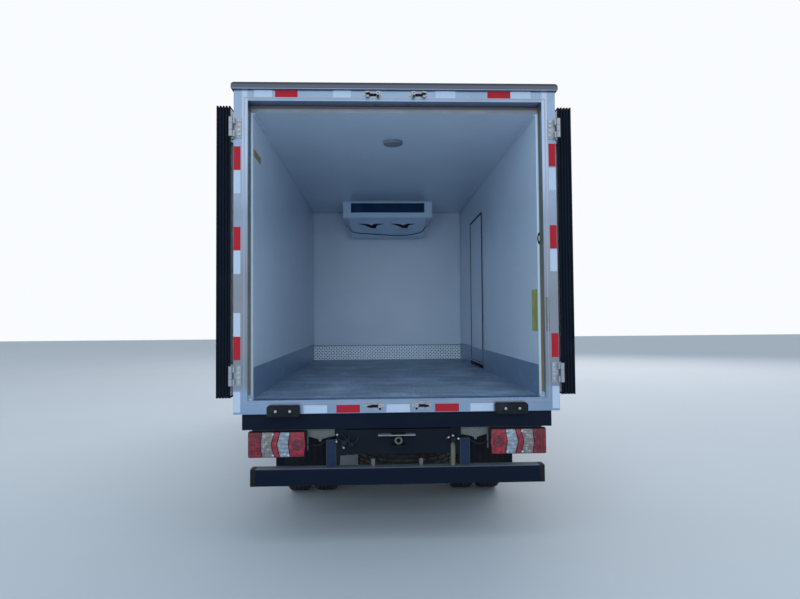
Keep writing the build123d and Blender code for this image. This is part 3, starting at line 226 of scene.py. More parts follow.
def brushed(name, colour, grain=(1, 60, 60), rough=0.3, smear=0.12, metallic=1.0, **fixed):
    """Sheet metal with a brushed grain: grain stretches the noise across the brushing."""
    finish = Finish(name)
    lines = finish.noise(22, 4, grain)
    cloud = finish.noise(5, 4)
    prints = finish.noise(1.2, 5)
    tone = finish.blend(lines.between(0.2, 0.8), shade(colour, 0.84), colour)
    tone = finish.blend(prints.between(0.5, 0.8) * 0.3, tone, shade(colour, 0.7))
    finish.surface(tone, lines * smear + cloud * 0.14 + rough, lines, 0.00025, metallic=metallic, **fixed)


def frame_enamel(name, colour, dust=0.35, gloss=0.42):
    """Chassis enamel: satin, lightly pitted, with pale road dust on what faces up."""
    finish = Finish(name)
    facing_up = finish.facing()[2]
    pits = finish.noise(160, 3)
    cloud = finish.noise(4, 5)
    film = cloud.between(0.35, 0.75) * (facing_up.between(-0.2, 0.9) * 0.7 + 0.3) * dust
    tone = finish.blend(cloud, shade(colour, 0.7), shade(colour, 1.25))
    tone = finish.blend(film, tone, (0.30, 0.27, 0.235))
    finish.surface(tone, pits * 0.14 + film * 0.5 + gloss, pits, 0.0004, specular_ior_level=0.15)


def moulded(name, colour, grain=420, gloss=0.45, dust=0.12):
    """Moulded plastic or rubber with a fine grain and a little dust in it."""
    finish = Finish(name)
    grains = finish.cells(grain)
    cloud = finish.noise(7, 4)
    tone = finish.blend(cloud.between(0.3, 0.8), shade(colour, 0.8), shade(colour, 1.2))
    tone = finish.blend(cloud.between(0.5, 0.9) * dust, tone, (0.4, 0.38, 0.35))
    finish.surface(tone, grains * 0.1 + cloud * 0.1 + gloss, grains, 0.0002, specular_ior_level=0.2)


def reflector_tape(name, colour):
    """Retroreflective tape: small sealed cells, each with its own glint."""
    finish = Finish(name)
    cells = finish.cells(260)
    glints = finish.cells(260, "SMOOTH_F1")
    walls = finish.cells(260, "DISTANCE_TO_EDGE").between(0.0, 0.06)
    cloud = finish.noise(9, 3)
    tone = finish.blend(cloud * 0.25 + glints * 0.3, shade(colour, 0.86), shade(colour, 1.08))
    tone = finish.blend(1 - walls, tone, shade(colour, 0.72))
    finish.surface(tone, cells * 0.15 + cloud * 0.1 + 0.3, walls, 0.0002, specular_ior_level=0.25)


def lamp_lens(name, colour, across=160, down=160, inner=0.5, patches=0.0, glow=0.0):
    """A lamp's lens: optic ribs seen through clear gloss, so many to the metre across and down."""
    finish = Finish(name)
    x, _, z = finish.axes()
    ribs = abs((x * across) % 1.0 - 0.5) * 2
    rows = abs((z * down) % 1.0 - 0.5) * 2
    depth = ribs * 0.5 + rows * 0.5
    haze = finish.noise(14, 3)
    reflector_glint_mottle = finish.noise(38, 3)
    tone = finish.blend(depth, shade(colour, inner), colour)
    # Mottled darker and brighter patches, as strong as patches: painted shade and highlights of the reflector behind
    # the lens
    tone = finish.blend(reflector_glint_mottle.between(0.55, 0.38) * patches, tone, shade(colour, 0.3))
    tone = finish.blend(reflector_glint_mottle.between(0.56, 0.66) * patches * 0.8, tone, shade(colour, 1.6))
    finish.surface(tone, haze * 0.1 + 0.08, depth, 0.0006, coat_weight=0.5,
                   emission_strength=glow, emission_color=(*colour, 1))


def clear_glass(name, colour):
    """Tinted glass with faint smears."""
    finish = Finish(name)
    smears = finish.noise(4, 5, (1, 1, 0.3))
    tone = finish.blend(smears.between(0.4, 0.9), colour, shade(colour, 0.85))
    finish.surface(tone, smears * 0.05 + 0.02, transmission_weight=0.9, ior=1.45)


def tyre_rubber(name):
    """Tyre rubber: black sidewalls, greyer where the tread wears, dust in the corners."""
    finish = Finish(name)
    grains = finish.noise(300, 2)
    cloud = finish.noise(12, 5)
    scuffs = finish.noise(40, 4)
    tone = finish.blend(cloud, (0.012, 0.012, 0.013), (0.032, 0.032, 0.033))
    tone = finish.blend(scuffs.between(0.5, 0.8) * 0.45, tone, (0.13, 0.12, 0.105))
    finish.surface(tone, grains * 0.15 + scuffs * 0.15 + 0.62, grains, 0.0003)


def cast_metal(name, colour, metallic=0.6, rough=0.5):
    """Cast or galvanised metal, with a grained surface and darker stains."""
    finish = Finish(name)
    grains = finish.noise(110, 4)
    spangle = finish.cells(90)
    stains = finish.noise(6, 6)
    tone = finish.blend(spangle, shade(colour, 0.8), shade(colour, 1.15))
    tone = finish.blend(stains.between(0.5, 0.8) * 0.5, tone, shade(colour, 0.4))
    finish.surface(tone, grains * 0.2 + rough, grains, 0.0006, metallic=metallic)


def woven_cloth(name, colour):
    """Upholstery cloth with a fine over-and-under weave."""
    finish = Finish(name)
    x, y, z = finish.axes()
    threads = 520
    warp = abs((x * threads) % 1.0 - 0.5)
    weft = abs(((y + z) * threads) % 1.0 - 0.5)
    weave = warp + weft
    cloud = finish.noise(8, 4)
    tone = finish.blend(weave, shade(colour, 0.6), shade(colour, 1.3))
    tone = finish.blend(cloud * 0.3, tone, shade(colour, 0.7))
    finish.surface(tone, cloud * 0.1 + 0.8, weave, 0.0004, sheen_weight=0.3)


def kick_plates(name):
    """Sheet aluminium: dull and scuffed along the walls. On the front wall the sheet under the tread plate is painted
    dark as shade, with a painted reflection of the doorway across its middle.
    """
    finish = Finish(name)
    x, y, _ = finish.axes()
    front = y.between(1.0268, 1.0272)
    lines = finish.noise(22, 4, (60, 1, 60))
    scuffs = finish.noise(3, 6, (1, 1, 3))
    patches = finish.noise(1.6, 3)
    dull = finish.blend(lines.between(0.2, 0.8), (0.215, 0.32, 0.46), (0.30, 0.43, 0.60))
    dull = finish.blend(scuffs.between(0.55, 0.75) * 0.5, dull, (0.42, 0.55, 0.74))
    # The front wall's sheet is painted dark, as shade between the tread plate's bright lozenges
    front_sheet_shade_and_reflection = finish.blend(patches.between(0.35, 0.7), (0.060, 0.080, 0.11), (0.13, 0.17, 0.22))
    # Brighter across the middle: a painted reflection of the doorway
    front_sheet_shade_and_reflection = finish.blend(abs(x).between(0.75, 0.30) * 0.7, front_sheet_shade_and_reflection, (0.24, 0.32, 0.43))
    tone = finish.blend(front, dull, front_sheet_shade_and_reflection)
    finish.surface(tone, scuffs * 0.2 + 0.28, lines, 0.0003, metallic=0.55 - front * 0.3)


def panel_edge(name, low, high, lower_tone, upper_tone, patches):
    """Painted or sealed end of a panel, with one tone low down and another high up. patches is where the
    clouding starts and ends, how strong it is and its colour, over the tones or under them."""
    finish = Finish(name)
    z = finish.axes()[2]
    cloud = finish.noise(7, 4)
    grains = finish.cells(300)
    start, end, strength, colour = patches
    if lower_tone:
        tone = finish.blend(z.between(low, high), lower_tone, upper_tone)
        tone = finish.blend(cloud.between(start, end) * strength, tone, colour)
    else:
        tone = finish.blend(cloud.between(start, end), *colour)
        tone = finish.blend(z.between(low, high), tone, upper_tone)
    finish.surface(tone, grains * 0.1 + 0.5, grains, 0.0002)


def leaf_skin(name):
    """A rear leaf: white skin with pressed lines across it and a stainless trim round its edge."""
    finish = Finish(name)
    _, y, z = finish.axes()
    trim = 1 - (y.between(-2.6870, -2.6866) * (1 - y.between(-1.8296, -1.8292))
                * z.between(0.9310, 0.9314) * (1 - z.between(2.7826, 2.7830)))
    inside = y.between(-2.64, -2.63) * (1 - y.between(-1.885, -1.875))
    lines = 0
    for height in (1.03, 1.09, 1.52, 1.58, 2.13, 2.19, 2.62, 2.68):
        lines = (1 - abs(z - height).between(0.002, 0.006)) * inside + lines
    cloud = finish.noise(1.7, 5)
    grain = finish.noise(24, 4, (60, 60, 1))
    fleck = finish.noise(240, 2)
    white = finish.blend(cloud.between(0.3, 0.75), shade(WHITE, 0.94), WHITE)
    # The pressed lines are also painted a little darker, as painted shade in them
    white = finish.blend(lines * 0.18, white, (0.40, 0.41, 0.43))
    steel = finish.blend(grain.between(0.2, 0.8), (0.50, 0.52, 0.55), (0.70, 0.72, 0.75))
    tone = finish.blend(trim, white, steel)
    finish.surface(tone, fleck * 0.1 + grain * trim * 0.1 + 0.22, lines * 0.6 + trim + fleck * 0.04, 0.0012,
                   metallic=trim * 0.9)


def load_floor(name):
    """The grey load floor: long faint streaks, scuffs and a fine non-slip grain."""
    finish = Finish(name)
    streaks = finish.noise(9, 5, (6, 0.5, 1))
    scuffs = finish.noise(3.5, 6, (1, 0.6, 1))
    grain = finish.cells(300)
    waves = finish.noise(2.6, 4, (1, 2.4, 1))
    tone = finish.blend(streaks.between(0.25, 0.8), (0.155, 0.22, 0.315), (0.30, 0.40, 0.54))
    tone = finish.blend(waves.between(0.50, 0.62) * 0.35, tone, (0.42, 0.53, 0.68))
    tone = finish.blend(waves.between(0.48, 0.36) * 0.40, tone, (0.12, 0.17, 0.25))
    tone = finish.blend(scuffs.between(0.52, 0.75) * 0.6, tone, (0.44, 0.56, 0.70))
    tone = finish.blend(scuffs.between(0.62, 0.3) * 0.2, tone, (0.12, 0.12, 0.13))
    finish.surface(tone, streaks * 0.25 + grain * 0.1 + 0.32, grain, 0.0005)


def portal_steel(name):
    """The stainless portal: vertical grain on the posts, a painted reflection greyer low down, a painted highlight
    along their inner edges high up, and a dark anodised rain cap on top.
    """
    finish = Finish(name)
    x, _, z = finish.axes()
    across = finish.noise(24, 4, (60, 60, 1))
    along = finish.noise(24, 4, (1, 60, 60))
    cloud = finish.noise(4, 5)
    level_part = z.between(2.815, 2.83) + (1 - z.between(0.885, 0.9))
    lines = finish.blend(level_part, across, along)
    steel = finish.blend(lines, (0.24, 0.345, 0.50), (0.36, 0.50, 0.72))
    steel = finish.blend(cloud.between(0.45, 0.8) * 0.4, steel, (0.19, 0.24, 0.33))
    # Greyer low on the posts: a painted reflection of the ground
    low = (1 - z.between(1.5, 2.5)) * z.between(0.93, 1.0)
    steel = finish.blend(low * 0.65, steel, (0.25, 0.255, 0.27))
    # A painted highlight along the inner edges of the posts, high up
    edge = abs(x).between(0.955, 0.962) * (1 - abs(x).between(0.992, 1.0)) * z.between(2.0, 2.5)
    steel = finish.blend(edge * 0.6, steel, (0.55, 0.68, 0.88))
    cap = z.between(2.898, 2.902)
    dark_top = finish.blend(z.between(2.918, 2.934), (0.115, 0.135, 0.185), (0.055, 0.065, 0.09))
    tone = finish.blend(cap, steel, dark_top)
    finish.surface(tone, cloud * 0.2 + 0.2, cloud * 0.2, 0.0002, metallic=1.0)


def barred(name, dark, light, low, high):
    """Enamel that is paler on its top flange, where dust and daylight lie."""
    finish = Finish(name)
    z = finish.axes()[2]
    cloud = finish.noise(6, 5)
    pits = finish.noise(180, 2)
    tone = finish.blend(cloud, shade(dark, 0.75), shade(dark, 1.2))
    tone = finish.blend(z.between(low, high) * (cloud * 0.4 + 0.5), tone, light)
    finish.surface(tone, pits * 0.12 + 0.42, pits, 0.0003, specular_ior_level=0.15)


def rim_enamel(name):
    """Silver wheel enamel with brake dust toward the middle."""
    finish = Finish(name)
    fleck = finish.cells(900)
    cloud = finish.noise(9, 5)
    tone = finish.blend(fleck * 0.4, (0.42, 0.43, 0.45), (0.60, 0.61, 0.63))
    tone = finish.blend(cloud.between(0.45, 0.8) * 0.5, tone, (0.16, 0.14, 0.12))
    finish.surface(tone, cloud * 0.2 + 0.32, cloud, 0.0003, metallic=0.7)


panel_skin("inner_skin", WHITE_IN_SHADE, 0.34, 0.25, 0.9, 1.5)
panel_skin("outer_skin", WHITE, 0.22, 0.3, 0.7, 1.6)
panel_skin("box_skin", WHITE, 0.26, 0.3, 0.7, 1.6, WHITE_IN_SHADE)
panel_skin("cab_enamel", (0.80, 0.81, 0.82), 0.16, 0.35, 0.4, 1.2)
panel_skin("unit_shell", (0.61, 0.77, 0.95), 0.3)
portal_steel("portal_steel")
brushed("stainless", (0.42, 0.475, 0.55), (60, 60, 1), 0.24)
leaf_skin("leaf_skin")
brushed("door_steel", (0.43, 0.48, 0.55), (1, 60, 60), 0.26)
brushed("rail_aluminium", (0.70, 0.71, 0.73), (60, 1, 60), 0.34)
kick_plates("kick_aluminium")
# Near white and glowing: the lozenges' finish is a painted highlight, standing in for the daylight they reflect
brushed("tread_aluminium", (0.80, 0.91, 1.0), (30, 30, 30), 0.3, metallic=0.1,
        emission_strength=0.22, emission_color=(0.66, 0.84, 1.0, 1))
load_floor("load_floor_grey")
frame_enamel("frame_black", (0.004, 0.007, 0.014), 0.025, 0.5)
frame_enamel("beam_black", (0.0015, 0.006, 0.018), 0.02, 0.5)
frame_enamel("hanger_blue", (0.014, 0.026, 0.060), 0.04, 0.45)
barred("bar_enamel", (0.0015, 0.006, 0.018), (0.14, 0.155, 0.18), 0.452, 0.458)
moulded("black_plastic", (0.008, 0.010, 0.015), dust=0.025)
moulded("grey_plastic", (0.16, 0.165, 0.175), 500, 0.5)
moulded("gasket_rubber", (0.002, 0.006, 0.015), 700, 0.6, 0.01)
moulded("dock_rubber", (0.012, 0.014, 0.018), 300, 0.6, 0.08)
cast_metal("galvanised", (0.40, 0.42, 0.45), 0.8, 0.34)
cast_metal("bracket_grey", (0.17, 0.18, 0.175), 0.5, 0.5)
cast_metal("cast_iron", (0.07, 0.068, 0.066), 0.4, 0.6)
cast_metal("pipe_steel", (0.30, 0.28, 0.27), 0.8, 0.36)
cast_metal("bolt_zinc", (0.50, 0.55, 0.62), 0.9, 0.26)
reflector_tape("tape_red", (0.50, 0.013, 0.028))
reflector_tape("tape_white", (0.58, 0.66, 0.80))
lamp_lens("lens_red", (0.36, 0.006, 0.024), 130, 60, 0.5, 0.75)
lamp_lens("lens_deep", (0.20, 0.005, 0.024), 90, 90, 0.5, 0.75)
lamp_lens("lens_clear", (0.36, 0.42, 0.50), 110, 40, 0.35, 0.5)
lamp_lens("lens_warm", (0.31, 0.28, 0.27), 90, 60, 0.35, 0.6)
moulded("lamp_grey", (0.19, 0.23, 0.28), 500, 0.4, 0.05)
moulded("beige_hose", (0.15, 0.14, 0.11), 300, 0.6, 0.1)
lamp_lens("lens_amber", (0.75, 0.28, 0.03), glow=0.03)
lamp_lens("head_lens", (0.62, 0.66, 0.70), 60, 20)
clear_glass("cab_glass", (0.62, 0.70, 0.70))
brushed("mirror_glass", (0.86, 0.88, 0.90), (1, 1, 1), 0.03, 0.01)
tyre_rubber("tyre")
rim_enamel("wheel_silver")
woven_cloth("seat_cloth", (0.085, 0.092, 0.105))
# Olive where it is shaded high up, and yellower toward the floor
panel_edge("edge_yellow", 0.9, 2.2, (0.36, 0.225, 0.040), (0.135, 0.120, 0.050),
           (0.5, 0.85, 0.4, (0.20, 0.19, 0.17)))
# Greyish white, with a brown sealing line under the header
panel_edge("edge_brown", 2.801, 2.807, None, (0.15, 0.115, 0.11),
           (0.3, 0.8, 1, ((0.25, 0.26, 0.28), (0.31, 0.32, 0.34))))
moulded("label_lime", (0.42, 0.46, 0.11), 500, 0.4, 0.1)
moulded("label_yellow", (0.36, 0.29, 0.10), 500, 0.4, 0.1)
moulded("seal_grey", (0.035, 0.05, 0.075), 500, 0.5, 0.05)
moulded("blade_dark", (0.06, 0.16, 0.34), 500, 0.4, 0.03)
frame_enamel("tank_black", (0.03, 0.031, 0.034), 0.4, 0.3)

# ---------------------------------------------------------------- modelling
POLE = 0.000001  # radius that a turned piece starts from at a pole, before the pole is merged


def leave():
    if bpy.context.object and bpy.context.object.mode != "OBJECT":
        bpy.ops.object.mode_set(mode="OBJECT")


def only(*pieces):
    """Select these pieces and nothing else. The first is the active one."""
    leave()
    bpy.ops.object.select_all(action="DESELECT")
    for piece in pieces:
        piece.select_set(True)
    if pieces:
        bpy.context.view_layer.objects.active = pieces[0]


def pick(piece, kind, test=lambda part: True):
    """Go into edit mode with only the faces, edges or vertices that pass the test selected."""
    only(piece)
    bpy.ops.object.mode_set(mode="EDIT")
    bpy.ops.mesh.select_mode(type=kind)
    bpy.ops.mesh.select_all(action="DESELECT")
    shape = bmesh.from_edit_mesh(piece.data)
    for part in {"FACE": shape.faces, "EDGE": shape.edges, "VERT": shape.verts}[kind]:
        if test(part):
            part.select_set(True)
    bmesh.update_edit_mesh(piece.data)


def facing_back(face):
    return face.normal.dot(Vector(BACKWARD)) > 0.9


def runs_ahead(edge):
    return abs((edge.verts[0].co - edge.verts[1].co).normalized().y) > 0.9


def bevel(piece, width, steps=2, test=lambda edge: True, clamp=False):
    pick(piece, "EDGE", test)
    bpy.ops.mesh.bevel(offset=width, segments=steps, affect="EDGES", clamp_overlap=clamp)
    leave()


def settle(piece, *, merge=False):
    """Put the piece's place in its mesh and turn its faces outward."""
    only(piece)
    bpy.ops.object.transform_apply(location=True, rotation=True, scale=True)
    bpy.ops.object.mode_set(mode="EDIT")
    bpy.ops.mesh.select_all(action="SELECT")
    if merge:
        bpy.ops.mesh.remove_doubles(threshold=0.00002)
    bpy.ops.mesh.normals_make_consistent(inside=False)
    leave()
    return piece


def block(x, y, z, rounding=0.0, steps=2):
    """A block with a span along each axis, its ends given in any order, and its edges rounded."""
    low, high = Vector(map(min, (x, y, z))), Vector(map(max, (x, y, z)))
    only()
    bpy.ops.mesh.primitive_cube_add(size=1, location=(low + high) / 2)
    piece = bpy.context.object
    piece.scale = high - low
    only(piece)
    bpy.ops.object.transform_apply(location=True, rotation=True, scale=True)
    if rounding:
        bevel(piece, rounding, steps, clamp=True)
    return piece


def turn_to(direction, place=ORIGIN):
    """A matrix that stands what was made along Z up along a direction, at a place."""
    turn = Vector(UPWARD).rotation_difference(Vector(direction)).to_matrix().to_4x4()
    return Matrix.Translation(place) @ turn


def turned(rings, steps=48, place=ORIGIN, direction=UPWARD, merge=False):
    """A turned piece, drawn out ring by ring. Each ring is its radius and its place on the axis."""
    only()
    radius, far = rings[0]
    if radius == 0:
        radius, merge = POLE, True
    bpy.ops.mesh.primitive_circle_add(vertices=steps, radius=radius, location=(0, 0, far))
    piece = bpy.context.object
    bpy.ops.object.mode_set(mode="EDIT")
    bpy.ops.mesh.select_mode(type="VERT")
    bpy.ops.mesh.select_all(action="SELECT")
    for wide, high in rings[1:]:
        bpy.ops.mesh.extrude_edges_move(TRANSFORM_OT_translate={"value": (0, 0, high - far)})
        if wide == 0:
            bpy.ops.mesh.merge(type="CENTER")
        else:
            bpy.ops.transform.resize(value=(wide / radius, wide / radius, 1), center_override=(0, 0, high))
        radius, far = wide, high
    leave()
    piece.data.transform(Matrix.Translation((0, 0, rings[0][1])))
    piece.matrix_world = turn_to(direction, place)
    return settle(piece, merge=merge)


def plate(points, along, rounding=0.0):
    """A plate cut to an outline, point by point, and drawn out to its thickness."""
    only()
    points = [Vector(point) for point in points]
    bpy.ops.mesh.primitive_plane_add(size=0.01, location=points[0])
    piece = bpy.context.object
    bpy.ops.object.mode_set(mode="EDIT")
    bpy.ops.mesh.select_mode(type="VERT")
    bpy.ops.mesh.select_all(action="SELECT")
    bpy.ops.mesh.merge(type="CENTER")
    for start, end in zip(points, points[1:]):
        bpy.ops.mesh.extrude_vertices_move(TRANSFORM_OT_translate={"value": end - start})
    bpy.ops.mesh.select_all(action="SELECT")
    bpy.ops.mesh.edge_face_add()
    bpy.ops.mesh.extrude_region_move(TRANSFORM_OT_translate={"value": along})
    settle(piece)
    if rounding:
        bevel(piece, rounding)
    return piece


def profile(axis, start, length, outline, rounding=0.0):
    """A plate square to an axis. Each point of its outline gives the other two coordinates."""
    along = [0, 0, 0]
    along[axis] = length
    return plate([(*spot[:axis], start, *spot[axis:]) for spot in outline], along, rounding)


def ring_frame(x, y, z, width, axis, rounding=0.0):
    """A rectangular frame. Its opening goes through along the axis."""
    piece = block(x, y, z)
    pick(piece, "FACE", lambda face: abs(face.normal[axis]) > 0.9)
    bpy.ops.mesh.inset(thickness=width, use_boundary=True)
    bpy.ops.mesh.bridge_edge_loops()
    leave()
    if rounding:
        bevel(piece, rounding, test=lambda edge: edge.calc_face_angle(0) > 0.5)
    return settle(piece)


def bent_pipe(points, radius, around=10, smooth=True, closed=False):
    """A pipe or cable along a line of points."""
    only()
    line = bpy.data.curves.new("pipe", "CURVE")
    line.dimensions = "3D"
    spline = line.splines.new("NURBS" if smooth else "POLY")
    spline.points.add(len(points) - 1)
    for knot, point in zip(spline.points, points):
        knot.co = (*point, 1)
    if smooth:
        spline.order_u = 3
        spline.use_endpoint_u = True
        spline.resolution_u = 6
    spline.use_cyclic_u = closed
    line.bevel_depth = radius
    line.bevel_resolution = max(1, around // 4 - 1)
    line.use_fill_caps = not closed
    piece = bpy.data.objects.new("pipe", line)
    bpy.context.scene.collection.objects.link(piece)
    only(piece)
    bpy.ops.object.convert(target="MESH")
    return settle(bpy.context.object, merge=True)


def copied(piece, *moves):
    """The piece again at each move, each with its own mesh. A move is a place or a matrix."""
    made = []
    for move in moves:
        twin = piece.copy()
        twin.data = piece.data.copy()
        twin.data.transform(move if isinstance(move, Matrix) else Matrix.Translation(move))
        bpy.context.scene.collection.objects.link(twin)
        made.append(twin)
    return made


def joined(pieces):
    """One piece, made of a list of pieces or given alone."""
    pieces = pieces if isinstance(pieces, list) else [pieces]
    only(*pieces)
    if len(pieces) > 1:
        bpy.ops.object.join()
    return bpy.context.object


def spread(piece, spots):
    """The piece at each spot, and not at its first place, as one piece."""
    made = copied(piece, *spots)
    bpy.data.objects.remove(piece)
    return joined(made)


def mirrored(piece):
    twin, = copied(piece, Matrix.Scale(-1, 4, (1, 0, 0)))
    twin.data.flip_normals()
    return twin


def both_sides(pieces):
    piece = joined(pieces)
    return joined([piece, mirrored(piece)])


def dress(piece, look):
    piece.data.materials.clear()
    piece.data.materials.append(looks[look])
    for face in piece.data.polygons:
        face.material_index = 0


def done(name, pieces, slot, look, *nodes, body="chassis", angle=35):
    """Name a finished piece, give it its finish, and let it ride on its body."""
    piece = joined(pieces)
    piece.name = piece.data.name = name
    bpy.ops.object.shade_smooth_by_angle(angle=radians(angle))
    dress(piece, look)
    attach(piece, body)
    if nodes:
        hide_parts(*nodes)
    return piece


def hex_bolt(radius=0.009, height=0.007):
    """A hexagon bolt head on its washer, standing up from the origin."""
    washer = turned(((radius * 1.35, 0), (radius * 1.35, 0.0015), (radius * 1.2, 0.002), (0, 0.002)), 16)
    crown = height + 0.0012
    head = turned(((radius, 0.0015), (radius, height), (radius * 0.86, crown), (0, crown)), 6)
    return joined([washer, head])


def rivet(radius=0.005, height=0.002):
    return turned(((radius, 0), (radius * 0.75, height * 0.8), (0, height)), 8)


# ---------------------------------------------------------------- rear portal
HEADER, SILL_FACE = up(1.957, 2.003), up(-0.084, -0.034)
LEFT_POST, RIGHT_POST = (-1.049, -1.005), (1.002, 1.048)
SIDE_FACE = 1.034
TAPE = 0.0008
WALL = 0.945
HINGES, KEEPERS = (1.05, 2.644), (0.846, 2.865)

# Reflective tape on the portal, and the same tape low along both sides of the box
reds = [((-0.784, -0.638), HEADER), ((0.602, 0.754), HEADER),
        ((-0.396, -0.245), SILL_FACE), ((0.237, 0.392), SILL_FACE)]
whites = [((x, x + width), HEADER) for x, width in ((-0.919, 0.116), (-0.409, 0.116), (0.26, 0.131), (0.757, 0.131))]
whites += [((x, x + 0.15), SILL_FACE) for x in (-0.605, -0.075, 0.466)]
for strips, post, heights in (
        (reds, LEFT_POST, ((1.481, 1.635), (0.962, 1.113), (0.258, 0.408))),
        (whites, LEFT_POST, ((1.330, 1.479), (0.809, 0.959), (0.408, 0.559), (-0.074, 0.058))),
        (reds, RIGHT_POST, ((1.507, 1.659), (0.967, 1.120), (0.257, 0.413))),
        (whites, RIGHT_POST, ((1.351, 1.497), (0.818, 0.961), (-0.074, 0.070)))):
    strips += [(post, up(*span)) for span in heights]
for word, slot, strips, shift in (("red", "lamp", reds, 0), ("white", "white_panel", whites, 0.15)):
    tapes = [block(x, (REAR - TAPE, REAR), z, 0.0003, 1) for x, z in strips]
    for side in SIDES:
        for number, start in enumerate((0.30, 0.75, 1.20, 1.65, 2.95, 3.40)):
            place = start + shift
            if side < 0 or number != 3:  # the side door takes the fourth place on the right
                tapes.append(block(out(side, SIDE_FACE, SIDE_FACE + TAPE), ahead(place, place + 0.149),
                                   up(-0.075, -0.03), 0.0003, 1))
    done("reflective_tape_" + word, tapes, slot, "tape_" + word)

# Painted ends of the wall panels inside the portal
wall_end = block((0.9455, 0.9595), ahead(0.096, 0.1), up(0.0, 1.889), 0.001, 1)
done("wall_end_strips", both_sides(wall_end), "white_panel", "inner_skin")
reveal = block((0.9592, 0.9602), ahead(0.042, 0.089), up(0.0, 1.932), 0.0003, 1)
done("reveal_linings", both_sides(reveal), "white_panel", "edge_yellow")
roof_end = block((-0.959, 0.959), ahead(0.096, 0.1), up(1.8905, 1.9335), 0.001, 1)
done("roof_end_strip", roof_end, "white_panel", "edge_brown")

# Cover strips of the portal: a raised bead round the opening and a drip edge under the cap
done("opening_bead", ring_frame((-0.985, 0.985), ahead(-0.002, 0), up(-0.022, 1.957), 0.006, 1),
     "stainless", "stainless")
done("rain_cap_lip", block((-1.062, 1.062), ahead(-0.0195, -0.0165), (2.896, 2.901), 0.001, 1),
     "stainless", "stainless")
seams = [block(out(side, 0.9605, 0.962), ahead(-0.0006, 0), up(*span), 0.0002, 1)
         for span in ((-0.0865, -0.001), (1.9345, 2.009)) for side in SIDES]
done("portal_weld_seams", seams, "stainless", "kick_aluminium")

# Thin L-shaped pieces in the lower corners of the portal
corner = profile(1, ahead(0.025), 0.06, [(x, up(height)) for x, height in (
    (0.9591, 0.0005), (0.9591, 0.028), (0.9565, 0.024), (0.9560, 0.0055), (0.934, 0.0045), (0.934, 0.0005))])
done("inner_corner_pieces", both_sides(corner), "white_panel", "inner_skin")

# Thin plain holder on the right post
done("door_label_holder", ring_frame((0.964, 0.994), ahead(-0.0012, 0), up(0.423, 0.653), 0.0022, 1),
     "stainless", "galvanised")
done("door_label_backing", block((0.9655, 0.9925), ahead(-0.0007, 0), up(0.4245, 0.6515), 0.0002, 1),
     "white_panel", "bracket_grey")

# Half-round rubber stop with a pale middle, at the end of the right wall
STOP_FACE, STOP_SQUEEZE = 0.9597, 0.345
stop = turned(((0.042, 0.0), (0.042, 0.004), (0.038, 0.008), (0.026, 0.008), (0.024, 0.004), (0.0, 0.004)), 40,
              (STOP_FACE, ahead(0.0998), up(1.046)), BACKWARD)
pick(stop, "VERT")
bpy.ops.mesh.bisect(plane_co=(STOP_FACE, 0, 0), plane_no=(1, 0, 0), clear_outer=True, use_fill=True)
bpy.ops.mesh.select_all(action="SELECT")
bpy.ops.transform.resize(value=(STOP_SQUEEZE, 1, 1), center_override=(STOP_FACE, 0, 0))
leave()
done("rubber_stop", stop, "rubber", "dock_rubber")
done("stop_middle", block((0.9525, 0.9596), ahead(0.094, 0.0975), up(1.028, 1.064), 0.002),
     "white_panel", "inner_skin")

# Bolts: hinge plates and rod keepers on the portal
spots = [turn_to(BACKWARD, (side * 1.014, ahead(-0.006), height + rise))
         for side in SIDES for height in HINGES for rise in (-0.045, 0.045, -0.015, 0.015)]
spots += [turn_to(BACKWARD, (side * (0.15 + shift), ahead(-0.003), height))
          for side in SIDES for height in KEEPERS for shift in (-0.052, 0.052)]
done("portal_bolts", spread(hex_bolt(0.008, 0.006), spots), "steel", "bolt_zinc")

# Rod keepers: near-black pieces as painted shade in their slots and a painted shadow under each ring, and a ring beside
# each
keeper_shade_blocks, rings = [], []
for side in SIDES:
    for z in KEEPERS:
        outline = ((0.168, -0.008), (0.168, 0.009), (0.188, 0.008), (0.201, 0.001), (0.201, -0.002), (0.188, -0.006))
        keeper_shade_blocks += [profile(1, ahead(-0.0285), 0.0034, [(side * x, z + rise) for x, rise in outline], 0.0006),
                  block(out(side, 0.126, 0.174), ahead(-0.005, -0.0028), off(z, -0.009, 0.009), 0.0006, 1),
                  # Painted shadow under the ring
                  block(out(side, 0.110, 0.124), ahead(-0.0262, -0.0248), off(z, -0.021, -0.006), 0.0005, 1)]
        circle = [(side * 0.117 + 0.0095 * cos(a), ahead(-0.0285), z + 0.004 + 0.0095 * sin(a))
                  for a in (n * pi / 6 for n in range(12))]
        rings.append(bent_pipe(circle, 0.0038, 8, closed=True))
done("keeper_slots", keeper_shade_blocks, "black_plastic", "gasket_rubber")
done("keeper_rings", rings, "stainless", "bolt_zinc")

# ---------------------------------------------------------------- inside of the box
CEILING = up(1.89)
FRONT_WALL = 3.84
CEILING_LAMP = (0, ahead(0.742), CEILING)

# Ceiling lamp: bezel ring and lens
bezel = ((0.068, 0.0), (0.068, 0.007), (0.064, 0.013), (0.058, 0.018), (0.052, 0.019), (0.050, 0.016))
done("ceiling_lamp_bezel", turned(bezel, 48, CEILING_LAMP, DOWNWARD), "unit_white", "lamp_grey")
diffuser = ((0.050, 0.0165), (0.046, 0.020), (0.034, 0.0225), (0.016, 0.0235), (0, 0.024))
done("ceiling_lamp_diffuser", turned(diffuser, 48, CEILING_LAMP, DOWNWARD), "clear_lamp", "unit_shell")

